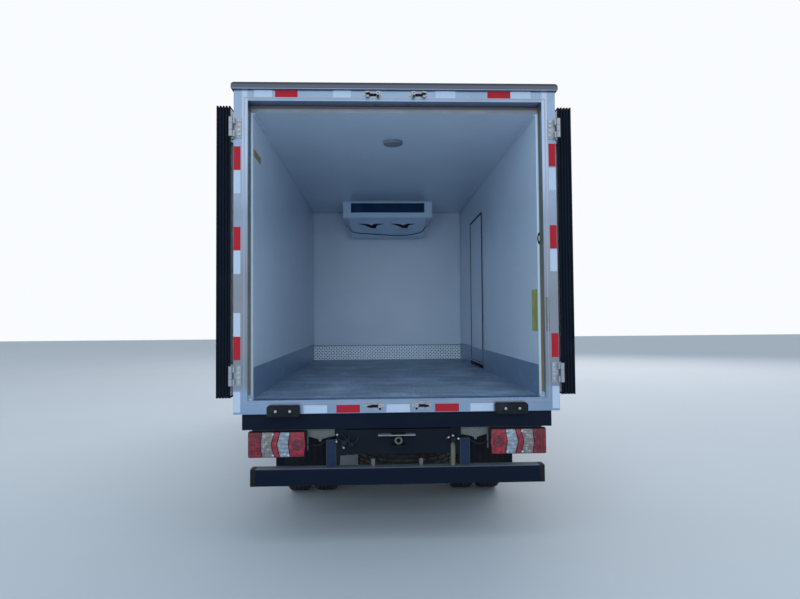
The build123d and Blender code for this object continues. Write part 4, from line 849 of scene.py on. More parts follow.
# Tread plate: raised lozenges, crossed, on the sheet up the front wall
PITCH_OF_TREAD = 0.0218
lozenge = profile(2, 0, 0.0020, [(-0.0150, 0), (0, -0.0054), (0.0150, 0), (0, 0.0054)])
spots = [Matrix.Translation((-0.9265 + column * PITCH_OF_TREAD, ahead(FRONT_WALL - 0.003),
                             up(0.014) + row * PITCH_OF_TREAD))
         @ Matrix.Rotation(radians(90), 4, "X")
         @ Matrix.Rotation(radians(45 if (row + column) % 2 else -45), 4, "Z")
         for row in range(8) for column in range(86)]
# Their finish is a painted highlight with a glow
done("tread_lozenges", spread(lozenge, spots), "aluminium", "tread_aluminium", angle=20)

# Folded top edge and rivets of the kick plates, with a gap on the right for the side door
full_edge, *right_edges = [block((0.9385, WALL), ahead(start, end), up(0.196, 0.203), 0.0015)
                           for start, end in ((0.1, 3.836), (0.1, 2.2), (2.975, 3.836))]
left_edge = mirrored(full_edge)
bpy.data.objects.remove(full_edge)
front_edge = block((-0.936, 0.936), ahead(3.8335, 3.839), up(0.182, 0.188), 0.0012)
done("kick_plate_edges", [left_edge, *right_edges, front_edge], "aluminium", "kick_aluminium")
spots = [turn_to((-side, 0, 0), (side * 0.9418, ahead(0.16 + 0.24 * number), up(height)))
         for side in SIDES for number in range(16) for height in (0.025, 0.175)
         if side < 0 or not 2.15 < 0.16 + 0.24 * number < 3.02]
done("kick_plate_rivets", spread(rivet(), spots), "steel", "bolt_zinc")

# White corner mouldings: front corners, ceiling corners
mould = [block(out(side, 0.925, WALL), ahead(3.82, FRONT_WALL), up(0.19, 1.88), 0.006, 3) for side in SIDES]
mould += [block(out(side, 0.934, WALL), ahead(0.104, FRONT_WALL), up(1.879, 1.89), 0.004, 3) for side in SIDES]
mould.append(block((-0.925, 0.925), ahead(3.822, FRONT_WALL), up(1.872, 1.89), 0.006, 3))
done("corner_mouldings", mould, "white_panel", "inner_skin")

# Side doorway seen from inside: rubber seal, threshold strip and its nosing
done("side_door_inner_seal", ring_frame((0.9452, 0.9405), ahead(2.2085, 2.9685), up(0.0505, 1.6015), 0.013, 0, 0.0015),
     "rubber", "seal_grey")
lips = [block((0.935, 0.9455), ahead(2.2055, 2.2115), up(0.20, 1.604), 0.002),
        block((0.936, 0.9455), ahead(2.2035, 2.97), up(1.5965, 1.604), 0.002)]
done("side_door_seal_lips", lips, "rubber", "seal_grey")
done("side_door_threshold", block((0.931, 0.9445), ahead(2.214, 2.963), up(0.008, 0.047), 0.004),
     "rubber", "gasket_rubber")
done("side_door_nosing", block((0.926, 0.9447), ahead(2.212, 2.965), up(0.0475, 0.0555), 0.002),
     "aluminium", "rail_aluminium")
done("side_door_kick_plate", block((0.9432, 0.9452), ahead(2.224, 2.953), up(0.066, 0.197), 0.0006, 1),
     "aluminium", "kick_aluminium", body="side_door")

# Bare label places on the walls
done("wall_label_right", block((0.9438, WALL), ahead(0.115, 0.262), up(0.425, 0.707), 0.0004, 1),
     "white_panel", "label_lime")
done("wall_label_left", block((-WALL, -0.9438), ahead(0.11, 0.36), up(1.605, 1.655), 0.0004, 1),
     "white_panel", "label_yellow")

# Evaporator: frame round the outlet, louvre blades and uprights
EVAPORATOR = ahead(3.1)
done("evaporator_outlet_frame",
     ring_frame((-0.512, 0.512), off(EVAPORATOR, -0.006, 0), up(1.702, 1.889), 0.012, 1, 0.002),
     "unit_white", "unit_shell")
blades = [block((-0.428, 0.428), off(EVAPORATOR, 0.052, 0.058), up(1.762, 1.87), 0.001, 1)]
for number in range(7):
    z = up(1.7705) + number * 0.0155
    outline = ((0.006, 0), (0.008, 0.002), (0.036, -0.003), (0.034, -0.006))
    blades.append(profile(0, -0.427, 0.854, [(EVAPORATOR + y, z + rise) for y, rise in outline]))
for number in range(8):
    x = -0.37 + number * 0.1057
    blades.append(block(off(x, -0.001, 0.001), off(EVAPORATOR, 0.02, 0.05), up(1.762, 1.87), 0.0003, 1))
done("evaporator_louvres", blades, "black_plastic", "blade_dark")


def slope_up(distance):
    """Height of the evaporator's slanted underside, ahead of its back."""
    return up(1.70 - 0.15 * (distance - 0.02) / 0.46)


# Its underside: round cowls with a curved dark gap in each, the drain edge and ribs on the tray
COWL, SLOPE = 0.19, -0.3152
cowl_rings = ((0.150, -0.001), (0.150, 0.003), (0.144, 0.005), (0.120, 0.0045), (0.116, 0.0065), (0.090, 0.006),
              (0.086, 0.008), (0.060, 0.0075), (0.056, 0.0095), (0.030, 0.009), (0, 0.010))
gap_line = ((-0.155, 0.140), (-0.07, 0.146), (-0.03, 0.158), (-0.005, 0.182), (0.02, 0.158), (0.045, 0.144),
            (0.14, 0.142), (0.07, 0.170), (0.055, 0.205), (0.05, 0.250), (-0.01, 0.240), (-0.045, 0.208),
            (-0.08, 0.175))
cowls, gaps = [], []
for side in SIDES:
    cowl = turned(cowl_rings, 40, direction=DOWNWARD)
    centre = Vector((side * COWL, EVAPORATOR + 0.22, slope_up(0.22)))
    cowl.data.transform(Matrix.Translation(centre) @ Matrix.Rotation(SLOPE, 4, "X"))
    cowls.append(cowl)
    outline = [(side * COWL + x, EVAPORATOR + y, slope_up(y) - 0.0085) for x, y in gap_line]
    gaps.append(plate(outline, (0, -0.0012, -0.0036)))
done("evaporator_fan_cowls", cowls, "unit_white", "unit_shell")
done("evaporator_fan_gaps", gaps, "black_plastic", "gasket_rubber")
drain_line = [(x, EVAPORATOR + y, slope_up(y) - 0.005) for x, y in (
    (-0.449, 0.27), (-0.443, 0.33), (-0.415, 0.375), (-0.30, 0.397), (-0.10, 0.425), (0.08, 0.452),
    (0.17, 0.455), (0.27, 0.440), (0.36, 0.405), (0.425, 0.36), (0.446, 0.30), (0.449, 0.24))]
done("evaporator_drain_edge", bent_pipe(drain_line, 0.004, 8), "rubber", "gasket_rubber")
tray_ribs = [block(off(x, -0.004, 0.004), off(EVAPORATOR, 0.49, 0.69), up(1.547, 1.551), 0.001, 1)
             for x in (-0.3, -0.15, 0.0, 0.15, 0.3)]
done("evaporator_tray_ribs", tray_ribs, "unit_white", "unit_shell")

# ---------------------------------------------------------------- rear lamps and bumpers
LAMP_LOW, LAMP_HIGH = 0.527, 0.693
LAMP_FACE = REAR - 0.004
housing = block((0.587, 0.958), ahead(-0.002, 0.046), (LAMP_LOW, LAMP_HIGH), 0.010, 3)
pick(housing, "FACE", facing_back)
bpy.ops.mesh.inset(thickness=0.005)
bpy.ops.transform.translate(value=(0, 0.004, 0))
leave()
done("tail_lamp_housings", both_sides(housing), "black_plastic", "black_plastic", "tail_lamps")


def lens_window(name, outline, look, slot):
    """One window of the lamp, cut to its outline and crowned."""
    piece = profile(1, LAMP_FACE + 0.004, -0.004, outline)
    pick(piece, "FACE", facing_back)
    bpy.ops.mesh.inset(thickness=0.0012)
    bpy.ops.transform.translate(value=(0, -(0.0075 - 0.004), 0))
    bpy.ops.mesh.inset(thickness=0.008)
    bpy.ops.transform.translate(value=(0, -0.002, 0))
    leave()
    done(name, both_sides(settle(piece)), slot, look)


low, high, mid = LAMP_LOW + 0.005, LAMP_HIGH - 0.005, (LAMP_LOW + LAMP_HIGH) / 2
lens_window("tail_lens_outer_red", [(0.868, low), (0.953, low), (0.953, high), (0.868, high), (0.878, mid)],
            "lens_deep", "lamp")
for name, look, slot, inner, outer, tip, notch in (
        ("tail_lens_outer_clear", "lens_warm", "clear_lamp", 0.792, 0.866, 0.876, 0.812),
        ("tail_lens_chevron_red", "lens_red", "lamp", 0.755, 0.789, 0.809, 0.776),
        ("tail_lens_inner_clear", "lens_clear", "clear_lamp", 0.692, 0.752, 0.773, 0.704),
        ("tail_lens_inner_red", "lens_red", "lamp", 0.601, 0.689, 0.701, 0.594)):
    lens_window(name, [(inner, low), (outer, low), (tip, mid), (outer, high), (inner, high), (notch, mid)],
                look, slot)
glints = [block(off(x, -0.006, 0.006), off(LAMP_FACE, -0.0085, -0.006), off(z, -0.005, 0.005), 0.001, 1)
          for x in (0.700, 0.798) for z in (high - 0.012, low + 0.012)]
done("tail_lamp_glints", both_sides(glints), "clear_lamp", "tape_white")
spots = [(0.884 + column * 0.019, LAMP_FACE - 0.0075, low + 0.014 + row * 0.0185)
         for row in range(8) for column in range(4)]
stud = turned(((0.0075, 0), (0.006, 0.0016), (0, 0.0022)), 6, direction=BACKWARD)
done("tail_reflex_studs", both_sides(spread(stud, spots)), "lamp", "lens_red")
bowl = turned(((0.036, 0.0), (0.034, 0.003), (0.026, 0.0036), (0.024, 0.0022), (0.014, 0.0022), (0.012, 0.004),
               (0, 0.0045)), 32, (0.645, LAMP_FACE - 0.006, mid), BACKWARD)
done("tail_lamp_bowls", both_sides(bowl), "lamp", "lens_deep")

# Galvanised plate beside each lamp, with its dipped lower edge
bracket = profile(1, ahead(0.044), 0.008, (
    (0.408, 0.700), (0.586, 0.700), (0.586, 0.652), (0.560, 0.645), (0.515, 0.632), (0.512, 0.617),
    (0.497, 0.617), (0.494, 0.632), (0.450, 0.645), (0.408, 0.650)), 0.0008)
backing = block((0.58, 0.94), ahead(0.046, 0.054), (0.56, 0.702), 0.001, 1)
done("lamp_brackets", both_sides([bracket, backing]), "steel", "bracket_grey")

# Dock bumpers: pads on their feet, bolts in cups and ribs along the top
BOLTS_OUT, BOLT_HEIGHT = (0.685, 0.775), 0.826
pads = []
for side in SIDES:
    pads += [block(out(side, 0.628, 0.832), ahead(-0.0535, -0.0002), (0.789, 0.857), 0.009, 3),
             block(out(side, 0.630, 0.830), ahead(-0.045, 0.0118), (0.791, 0.8025), 0.002)]
done("dock_bumper_pads", pads, "rubber", "dock_rubber", "dock_bumpers")
places = [(side * x, ahead(-0.0530), BOLT_HEIGHT) for side in SIDES for x in BOLTS_OUT]
done("dock_bumper_bolts", spread(hex_bolt(0.0065, 0.005), [turn_to(BACKWARD, place) for place in places]),
     "steel", "bolt_zinc")
cups = [turned(((0.019, 0.0), (0.019, 0.003), (0.016, 0.0035), (0.014, 0.0)), 24, place, BACKWARD)
        for place in places]
ribs = [block(out(side, 0.632 + 0.0098 * number, 0.637 + 0.0098 * number), ahead(-0.0520, -0.004),
              (0.851, 0.8595), 0.001, 1) for side in SIDES for number in range(20)]
done("dock_bumper_ribs", cups + ribs, "rubber", "dock_rubber")

# Underride bar: rubber end caps, faces and weld beads of the hangers, small lugs
end_cap = block((0.905, 0.9415), ahead(-0.0165, 0.066), (0.3495, 0.4605), 0.006, 3)
done("bar_end_caps", both_sides(end_cap), "black_plastic", "black_plastic")
hanger = block((0.402, 0.460), ahead(0.017, 0.0205), (0.4585, 0.6245), 0.001, 1)
done("bar_hanger_faces", both_sides(hanger), "bar_paint", "hanger_blue")
welds = [bent_pipe(path((side * 0.402, 0.016, 0.459), (side * 0.43, 0.0155, 0.460), (side * 0.462, 0.016, 0.459)),
                   0.003, 6) for side in SIDES]
done("hanger_welds", welds, "bar_paint", "hanger_blue")
lugs = [block(off(x, -0.012, 0.012), ahead(*depth), (0.4585, top), 0.001, 1)
        for x in (-0.163, 0.147) for depth, top in (((0.030, 0.034), 0.503), ((0.012, 0.0338), 0.4625))]
done("bar_lugs", lugs, "steel", "bracket_grey")

# Tow ring, on its pin in the jaw
TOW_RING = 0.020
circle = [(TOW_RING * cos(a), ahead(-0.018), 0.628 + TOW_RING * sin(a)) for a in (n * pi / 8 for n in range(16))]
done("tow_ring", bent_pipe(circle, 0.0065, 10, closed=True), "steel", "bracket_grey")

# ---------------------------------------------------------------- outside of the box
ROOF, NOSE_OF_BOX = 2.894, ahead(3.929)
UPPER_RAIL = (2.846, 2.882)
places_along = [ahead(0.16 + 0.12 * number) for number in range(32)]
spots = [turn_to((side, 0, 0), (side * SIDE_FACE, y, z))
         for side in SIDES for y in places_along for z in (0.812, 0.8665 - 0.012, *UPPER_RAIL)]
spots += [turn_to(UPWARD, (side * (SIDE_FACE - drop), y, ROOF))
          for side in SIDES for y in places_along for drop in (0.014, 0.048)]
spots += [turn_to(FORWARD, (-0.98 + 0.14 * number, NOSE_OF_BOX, z)) for number in range(15) for z in UPPER_RAIL]
spots += [turn_to(FORWARD, (side * x, NOSE_OF_BOX, 0.95 + 0.16 * number))
          for side in SIDES for number in range(12) for x in (1.018, 0.986)]
done("rail_rivets", spread(rivet(0.0045, 0.0018), spots), "steel", "rail_aluminium")

# Side marker lamps low on the box and small lamps at its upper front corners
MARKERS = (0.66, 1.98, 3.82)
bases = [block(off(SIDE_FACE, -0.001, 0.005), ahead(y - 0.036, y + 0.036), (0.815, 0.855), 0.002) for y in MARKERS]
done("side_marker_bases", both_sides(bases), "black_plastic", "black_plastic")
lenses = [block(off(SIDE_FACE, 0.004, 0.014), ahead(y - 0.030, y + 0.030), (0.820, 0.850), 0.004, 3) for y in MARKERS]
done("side_marker_lenses", both_sides(lenses), "lamp", "lens_amber")
done("upper_lamp_bases", both_sides(block((0.90, 0.985), ahead(3.928, 3.934), (2.842, 2.882), 0.002)),
     "black_plastic", "black_plastic")
done("upper_lamp_lenses", both_sides(block((0.906, 0.979), ahead(3.933, 3.944), (2.847, 2.877), 0.004, 3)),
     "lamp", "lens_amber")

# Side door: seal round its outer flange, drip gutter over it, rod guides, pressing and hinge bolts
done("side_door_outer_seal", ring_frame((1.0305, 1.0345), ahead(2.1895, 2.9875), up(0.0315, 1.6205), 0.014, 0, 0.001),
     "rubber", "gasket_rubber")
gutter = profile(1, ahead(2.16), 0.86,
                 [(x, up(height)) for x, height in ((1.030, 1.650), (1.048, 1.642), (1.049, 1.648), (1.030, 1.660))])
done("side_door_gutter", gutter, "aluminium", "rail_aluminium")
guides = [block((1.0405, 1.0615), ahead(2.278, 2.322), up(height, height + 0.03), 0.003)
          for height in (0.10, 0.42, 1.05, 1.50)]
guides.append(block((1.0405, 1.0455), ahead(2.27, 2.44), up(0.575, 0.645), 0.002))
done("side_door_rod_guides", guides, "stainless", "stainless", body="side_door")
done("side_door_pressing", ring_frame((1.0408, 1.0428), ahead(2.36, 2.90), up(0.16, 1.49), 0.02, 0, 0.0008),
     "white_panel", "outer_skin", body="side_door")
spots = [turn_to((1, 0, 0), (1.047, ahead(distance), z)) for z in (1.12, 1.7, 2.3) for distance in (2.87, 2.955)]
done("side_door_bolts", spread(hex_bolt(0.007, 0.005), spots), "steel", "bolt_zinc", body="side_door")

# Rear leaves: bolts of the hinges and of the rod guides. Their trims and pressings are in leaf_skin.
for side, word in SIDE_WORDS:
    spots = [turn_to((-side, 0, 0), (side * 1.055, ahead(-0.029 + distance), z + rise))
             for z in HINGES for distance in (0.16, 0.235) for rise in (-0.04, 0.04)]
    spots += [turn_to((-side, 0, 0), (side * 1.065, ahead(0.882 + shift), z))
              for z in (up(0.067), 1.26, 1.70, up(1.867)) for shift in (-0.022, 0.022)]
    done("rear_door_bolts_" + word, spread(hex_bolt(0.006, 0.004), spots), "steel", "bolt_zinc",
         body="rear_door_" + word)

# Condenser: grille in front, vents in its sides, lid seam, feet, latches and cooling hoses
UNIT_FACE = ahead(4.345)
GRILLE = (2.492, 2.762)
slats = [block((-0.44, 0.44), off(UNIT_FACE, -0.002, 0.003), GRILLE, 0.001, 1)]
for number in range(11):
    z = 2.505 + number * 0.0245
    outline = ((0.002, 0), (0.014, -0.006), (0.015, -0.002), (0.003, 0.005))
    slats.append(profile(0, -0.44, 0.88, [(UNIT_FACE + y, z + rise) for y, rise in outline]))
for number in range(5):
    x = -0.352 + number * 0.176
    slats.append(block(off(x, -0.003, 0.003), off(UNIT_FACE, 0.002, 0.012), GRILLE, 0.001, 1))
for side in SIDES:
    for number in range(9):
        z = 2.52 + number * 0.028
        outline = ((0.609, 0), (0.618, -0.008), (0.6185, -0.004), (0.609, 0.007))
        slats.append(profile(1, ahead(3.97), 0.20, [(side * x, z + rise) for x, rise in outline]))
done("condenser_grille", slats, "black_plastic", "black_plastic")
done("condenser_surround",
     ring_frame((-0.465, 0.465), off(UNIT_FACE, -0.002, 0.016), (2.468, 2.786), 0.026, 1, 0.004),
     "unit_white", "outer_skin")
fittings = [block((-0.49, 0.49), off(UNIT_FACE, -0.002, 0.0015), (2.796, 2.800), 0.0005, 1)]
fittings += [block(out(side, 0.52, 0.46), ahead(3.94, 4.28), (2.395, 2.427), 0.004) for side in SIDES]
fittings += [block(off(side * 0.30, -0.025, 0.025), off(UNIT_FACE, -0.001, 0.008), (2.434, 2.460), 0.003)
             for side in SIDES]
done("condenser_fittings", fittings, "black_plastic", "black_plastic")
hoses = [bent_pipe(path((x, 4.10, 2.43), (x, 4.08, 2.34), (x, 3.96, 2.28), (x, 3.955, 2.0), (x, 3.955, 1.2),
                        (x, 3.957, 0.95), (x - 0.02, 3.93, 0.84), (x - 0.02, 3.90, 0.79)), radius, 10)
         for x, radius in ((0.30, 0.013), (0.335, 0.010), (0.37, 0.008))]
clips = [block((0.283, 0.383), ahead(3.926, 3.972), (z, z + 0.018), 0.004) for z in (1.3, 1.75, 2.2)]
done("cooling_hoses", hoses + clips, "rubber", "gasket_rubber")

# ---------------------------------------------------------------- tyres and wheels
REAR_AXLE, FRONT_AXLE, WHEEL = ahead(1.2), ahead(4.56), 0.337
AROUND = 96
TREAD_RADIUS, GROOVE_RADIUS, LUG_DEPTH = 0.3365, 0.3275, 0.006
half_tread = [(0.197, -0.078), (0.204, -0.0865), (0.222, -0.0905), (0.226, -0.0895), (0.250, -0.0922),
              (0.284, -0.0912), (0.286, -0.0900), (0.300, -0.0885), (0.318, -0.0835), (0.329, -0.0765),
              (0.3345, -0.0670)]
tread = list(half_tread)
for groove in (-0.0450, -0.0150, 0.0150, 0.0450):
    tread += [(TREAD_RADIUS, groove - 0.0045), (GROOVE_RADIUS, groove - 0.0030),
              (GROOVE_RADIUS, groove + 0.0030), (TREAD_RADIUS, groove + 0.0045)]
tread += [(radius, -far) for radius, far in reversed(half_tread)]
tread.append(tread[0])
tyre = turned(tread, AROUND, merge=True)


def lug_gap(face):
    """Faces of the tread that are pressed in, as gaps between its blocks."""
    spot = face.calc_center_median()
    radius = Vector((spot.x, spot.y)).length
    number = int((Vector((spot.x, spot.y)).angle_signed(Vector((1, 0))) % (2 * pi)) / (2 * pi) * AROUND)
    if 0.3145 < radius < 0.336 and 0.052 < abs(spot.z) < 0.086:
        return number % 3 == 0
    return radius > 0.336 and abs(spot.z) < 0.042 and (number + (2 if spot.z > 0 else 0)) % 4 == 0


pick(tyre, "FACE", lug_gap)
bpy.ops.mesh.extrude_region_shrink_fatten(TRANSFORM_OT_shrink_fatten={"value": -LUG_DEPTH})
leave()
settle(tyre)
along_x = Matrix.Rotation(radians(90), 4, "Y")
for side, word in SIDE_WORDS:
    rear_body, front_body = "rear_wheels_" + word, "front_wheel_" + word
    twins = copied(tyre, *[Matrix.Translation((side * x, REAR_AXLE, WHEEL)) @ along_x for x in (0.768, 0.553)])
    done("rear_treads_" + word, twins, "tyre", "tyre", "rear_tyres_" + word, body=rear_body)
    single = copied(tyre, Matrix.Translation((side * 0.745, FRONT_AXLE, WHEEL)) @ along_x)
    done("front_tread_" + word, single, "tyre", "tyre", "front_tyre_" + word, body=front_body)
    for axle, axle_y, nut_face, body in (("rear", REAR_AXLE, 0.6745, rear_body),
                                         ("front", FRONT_AXLE, 0.852, front_body)):
        nut = turned(((0.019, 0), (0.019, 0.002), (0.0155, 0.003), (0.0155, 0.016), (0.013, 0.018), (0, 0.018)), 6)
        spots = [turn_to((side, 0, 0), (side * nut_face, axle_y + 0.09 * cos(a), WHEEL + 0.09 * sin(a)))
                 for a in (pi / 3 * (number + 0.5) for number in range(6))]
        done(axle + "_wheel_nuts_" + word, spread(nut, spots), "steel", "bolt_zinc", body=body)
    hub_cap = turned(((0.058, -0.004), (0.058, 0.004), (0.040, 0.009), (0.036, 0.020), (0.028, 0.025), (0, 0.026)),
                     32, (side * 0.884, FRONT_AXLE, WHEEL), (side, 0, 0))
    done("front_hub_cap_" + word, hub_cap, "rim_steel", "wheel_silver", body=front_body)
SPARE = Vector((0.06, ahead(0.49), 0.4305))
done("spare_tread", copied(tyre, Matrix.Translation(SPARE)), "tyre", "tyre", "spare_wheel")
bpy.data.objects.remove(tyre)
spare_rim = turned(((0.016, -0.0135), (0.100, -0.0135), (0.122, -0.030), (0.150, -0.034), (0.178, -0.022),
                    (0.181, -0.078), (0.194, -0.082), (0.197, -0.078), (0.1965, -0.066), (0.190, -0.055),
                    (0.190, 0.055), (0.1965, 0.066), (0.197, 0.078), (0.194, 0.082), (0.183, 0.080),
                    (0.183, -0.010), (0.150, -0.022), (0.124, -0.020), (0.104, -0.002), (0.016, -0.002),
                    (0.016, -0.0135)), 64, SPARE, merge=True)
done("spare_rim", spare_rim, "rim_steel", "wheel_silver")

# ---------------------------------------------------------------- springs, engine and underside
RAIL_FOOT = 0.531
leaves = []
for axle_y, seat, end, half, foot in ((REAR_AXLE, 0.402, 0.505, 0.5, 0.285), (FRONT_AXLE, 0.312, 0.47, 0.56, 0.232)):
    for number in range(5):
        reach = half * (1 - 0.16 * number)
        top = [(axle_y + t * reach / 8,
                seat + 0.047 - 0.0096 * number + (end - seat - 0.05) * (t / 8 * reach / half) ** 2)
               for t in range(-8, 9)]
        leaves.append(profile(0, 0.340, 0.060, top + [(y, z - 0.009) for y, z in reversed(top)]))
    for way in SIDES:
        eye_y = axle_y + way * half
        leaves.append(turned(((0, 0), (0.020, 0), (0.022, 0.002), (0.022, 0.062), (0.020, 0.064), (0, 0.064)), 20,
                             (0.338, eye_y, end - 0.012), (1, 0, 0)))
        hanger = ((eye_y - 0.026, end - 0.03), (eye_y + 0.026, end - 0.03),
                  (eye_y + 0.045, RAIL_FOOT), (eye_y - 0.045, RAIL_FOOT))
        leaves += [profile(0, x, 0.008, hanger, 0.0015) for x in (0.330, 0.402)]
        y = axle_y + way * 0.052
        bends = [((x, y, foot), (x, y, seat + 0.056)) for x in (0.333, 0.407)]
        bends.append(((0.333, y, seat + 0.056), (0.407, y, seat + 0.056)))
        leaves += [bent_pipe(bend, 0.006, 8, smooth=False) for bend in bends]
    leaves.append(block((0.328, 0.412), off(axle_y, -0.07, 0.07), off(foot, 0.002, 0.010), 0.002))
    leaves.append(block((0.336, 0.404), off(axle_y, -0.06, 0.06), off(seat, 0.046, 0.055), 0.003))
done("leaf_spring_packs", both_sides(leaves), "frame_paint", "frame_black", "leaf_springs")

ENGINE_REAR, ENGINE_FRONT = ahead(4.23), ahead(4.85)
bell = ((0, -0.01), (0.125, -0.01), (0.125, 0.03), (0.105, 0.09), (0.085, 0.14), (0, 0.14))
gearcase = ((0, 0), (0.075, 0), (0.078, 0.02), (0.062, 0.05), (0.062, 0.22), (0.045, 0.25), (0.045, 0.30), (0, 0.32))
pulley = ((0, 0), (0.075, 0), (0.075, 0.01), (0.062, 0.016), (0.075, 0.022), (0.075, 0.034), (0.03, 0.038), (0, 0.038))
oil_filter = ((0, -0.02), (0.04, -0.02), (0.042, 0.0), (0.042, 0.0), (0.04, 0.012), (0, 0.014))
engine = [block((-0.17, 0.17), (ENGINE_REAR, ENGINE_FRONT - 0.05), (0.432, 0.56), 0.03, 3),
          block((-0.235, 0.235), (ENGINE_REAR, ENGINE_FRONT), (0.552, 0.735), 0.014),
          block((-0.20, 0.20), (ENGINE_REAR + 0.02, ENGINE_FRONT - 0.02), (0.73, 0.86), 0.012),
          block((-0.15, 0.15), (ENGINE_REAR + 0.05, ENGINE_FRONT - 0.05), (0.855, 0.926), 0.028, 3),
          block((-0.394, -0.22), ahead(4.73, 4.79), (0.60, 0.66), 0.01),
          block((0.22, 0.394), ahead(4.73, 4.79), (0.60, 0.66), 0.01),
          turned(bell, 32, (0, ahead(4.235), 0.56), BACKWARD),
          turned(gearcase, 24, (0, ahead(4.11), 0.50), BACKWARD),
          turned(pulley, 32, (0, ENGINE_FRONT, 0.60), FORWARD),
          turned(oil_filter, 20, (0.235, ahead(4.45), 0.60), (1, 0, -0.4))]
for side in SIDES:
    for number in range(7):
        y = ENGINE_REAR + 0.05 + number * 0.082
        engine.append(block(out(side, 0.232, 0.248), (y, y + 0.012), (0.565, 0.72), 0.003))
for number in range(8):
    y = ENGINE_REAR + 0.04 + number * 0.062
    engine.append(block((-0.12, 0.12), (y, y + 0.012), (0.4305, 0.438), 0.002))
done("engine_and_gearbox", engine, "cast", "cast_iron", "engine")

# Fuel tank, battery box and silencer
straps = [block((-0.8632, -0.4368), ahead(distance, distance + 0.045), (0.4018, 0.7282)) for distance in (2.33, 2.825)]
for strap in straps:
    bevel(strap, 0.0565, 8, runs_ahead)
done("tank_straps", straps, "steel", "galvanised")
tank_cap = turned(((0.042, -0.004), (0.042, 0.012), (0.036, 0.014), (0.036, 0.028), (0.030, 0.034), (0, 0.035)), 36,
                  (-0.86, ahead(2.26), 0.635), (-1, 0, 0.0))
done("tank_cap", tank_cap, "black_plastic", "black_plastic")
lid = [block((-0.856, -0.436), ahead(3.195, 3.725), (0.690, 0.724), 0.010, 3)]
lid += [block((-0.82 + 0.09 * number, -0.80 + 0.09 * number), ahead(3.22, 3.70), (0.722, 0.728), 0.003)
        for number in range(5)]
lid += [block((-0.862, -0.848), ahead(distance, distance + 0.03), (0.60, 0.70), 0.004) for distance in (3.30, 3.59)]
done("battery_lid", lid, "black_plastic", "black_plastic")
flange = ((0, -0.006), (0.045, -0.006), (0.045, 0.006), (0, 0.006))
shell_seam = ((0.099, -0.006), (0.104, -0.004), (0.104, 0.004), (0.099, 0.006))
flanges = [turned(rings, steps, (0.59, ahead(distance), 0.48), FORWARD)
           for rings, steps, distances in ((flange, 24, (2.29, 3.21)), (shell_seam, 48, (2.365, 3.135)))
           for distance in distances]
done("silencer_flanges", flanges, "steel", "pipe_steel")

# Brake lines and the wiring loom along the rails, with its loops at the rear
lines = [bent_pipe(path((x, 0.25, z), (x, 0.6, z), (x, 1.6, z + 0.02), (x, 3.0, z), (x, 4.2, z + 0.01), (x, 4.9, z)),
                   radius, 8)
         for x, z, radius in ((-0.328, 0.672, 0.007), (-0.312, 0.668, 0.004), (0.326, 0.670, 0.004))]
loops = (
    ((-0.41, 0.06, 0.672), (-0.39, -0.004, 0.650), (-0.345, -0.012, 0.612), (-0.31, 0.0, 0.640),
     (-0.315, 0.035, 0.668)),
    ((-0.41, 0.07, 0.690), (-0.375, 0.004, 0.684), (-0.335, -0.006, 0.642), (-0.30, 0.004, 0.600),
     (-0.262, 0.002, 0.622), (-0.25, 0.035, 0.662)),
    ((0.41, 0.06, 0.665), (0.385, 0.0, 0.640), (0.350, -0.008, 0.622), (0.325, 0.002, 0.652), (0.335, 0.035, 0.676)),
    ((0.582, 0.05, 0.60), (0.53, 0.03, 0.585), (0.475, 0.04, 0.602), (0.412, 0.07, 0.665)),
    ((-0.582, 0.05, 0.60), (-0.53, 0.03, 0.588), (-0.475, 0.04, 0.605), (-0.412, 0.07, 0.668)))
loom = [bent_pipe(path(*spots), 0.0065, 8) for spots in loops]
plugs = [block(off(x, -0.017, 0.017), ahead(-0.016, 0.004), off(z, -0.014, 0.014), 0.004)
         for x, z in ((-0.348, 0.617), (-0.300, 0.604), (0.352, 0.626))]
done("rear_wiring_loom", loom + plugs, "black_plastic", "black_plastic")
done("brake_lines", lines, "steel", "pipe_steel")
spots = [turn_to((side, 0, 0), (side * 0.4, ahead(distance + shift), 0.615 + rise)) for side in SIDES
         for distance in (0.49, 0.95, 1.62, 2.35, 3.15, 3.9) for shift in (-0.016, 0.016) for rise in (-0.028, 0.028)]
done("rail_bolts", spread(hex_bolt(0.009, 0.008), spots), "steel", "bolt_zinc")

# Gear housing cover, and what hangs under the rear beam: end plate flange, fittings and vent hose
COVER_BOLTS = 0.120
cover = turned(((0.135, -0.03), (0.135, 0.0), (0.10, 0.018), (0.05, 0.028), (0, 0.03)), 40,
               (0, REAR_AXLE - 0.148, WHEEL), BACKWARD)
spots = [turn_to(BACKWARD, (COVER_BOLTS * cos(a), REAR_AXLE - 0.150, WHEEL + COVER_BOLTS * sin(a)))
         for a in (pi / 5 * n for n in range(10))]
done("axle_housing_cover", [cover, spread(hex_bolt(0.008, 0.007), spots)], "frame_paint", "frame_black")
done("end_plate_flange", block((-0.131, 0.108), ahead(-0.0437, 0.0205), (0.6622, 0.6678), 0.001, 1),
     "steel", "galvanised")
fitting = turned(((0, -0.02), (0.005, -0.02), (0.005, 0), (0.0065, 0.002), (0.0065, 0.008), (0.004, 0.010),
                  (0.004, 0.014), (0, 0.015)), 10)
spots = [turn_to(direction, (x, ahead(distance), z)) for x, distance, z, direction in (
    (-0.392, -0.008, 0.668, (0.3, -1, 0.2)), (-0.396, -0.006, 0.628, (0.1, -1, -0.4)),
    (-0.352, -0.010, 0.588, (0.4, -1, -0.3)), (0.352, -0.008, 0.650, (-0.5, -1, 0.5)),
    (0.385, -0.008, 0.632, (-0.2, -1, 0.1)), (0.318, -0.008, 0.640, (0.5, -1, 0.4)))]
done("rear_loom_fittings", spread(fitting, spots), "steel", "bolt_zinc")
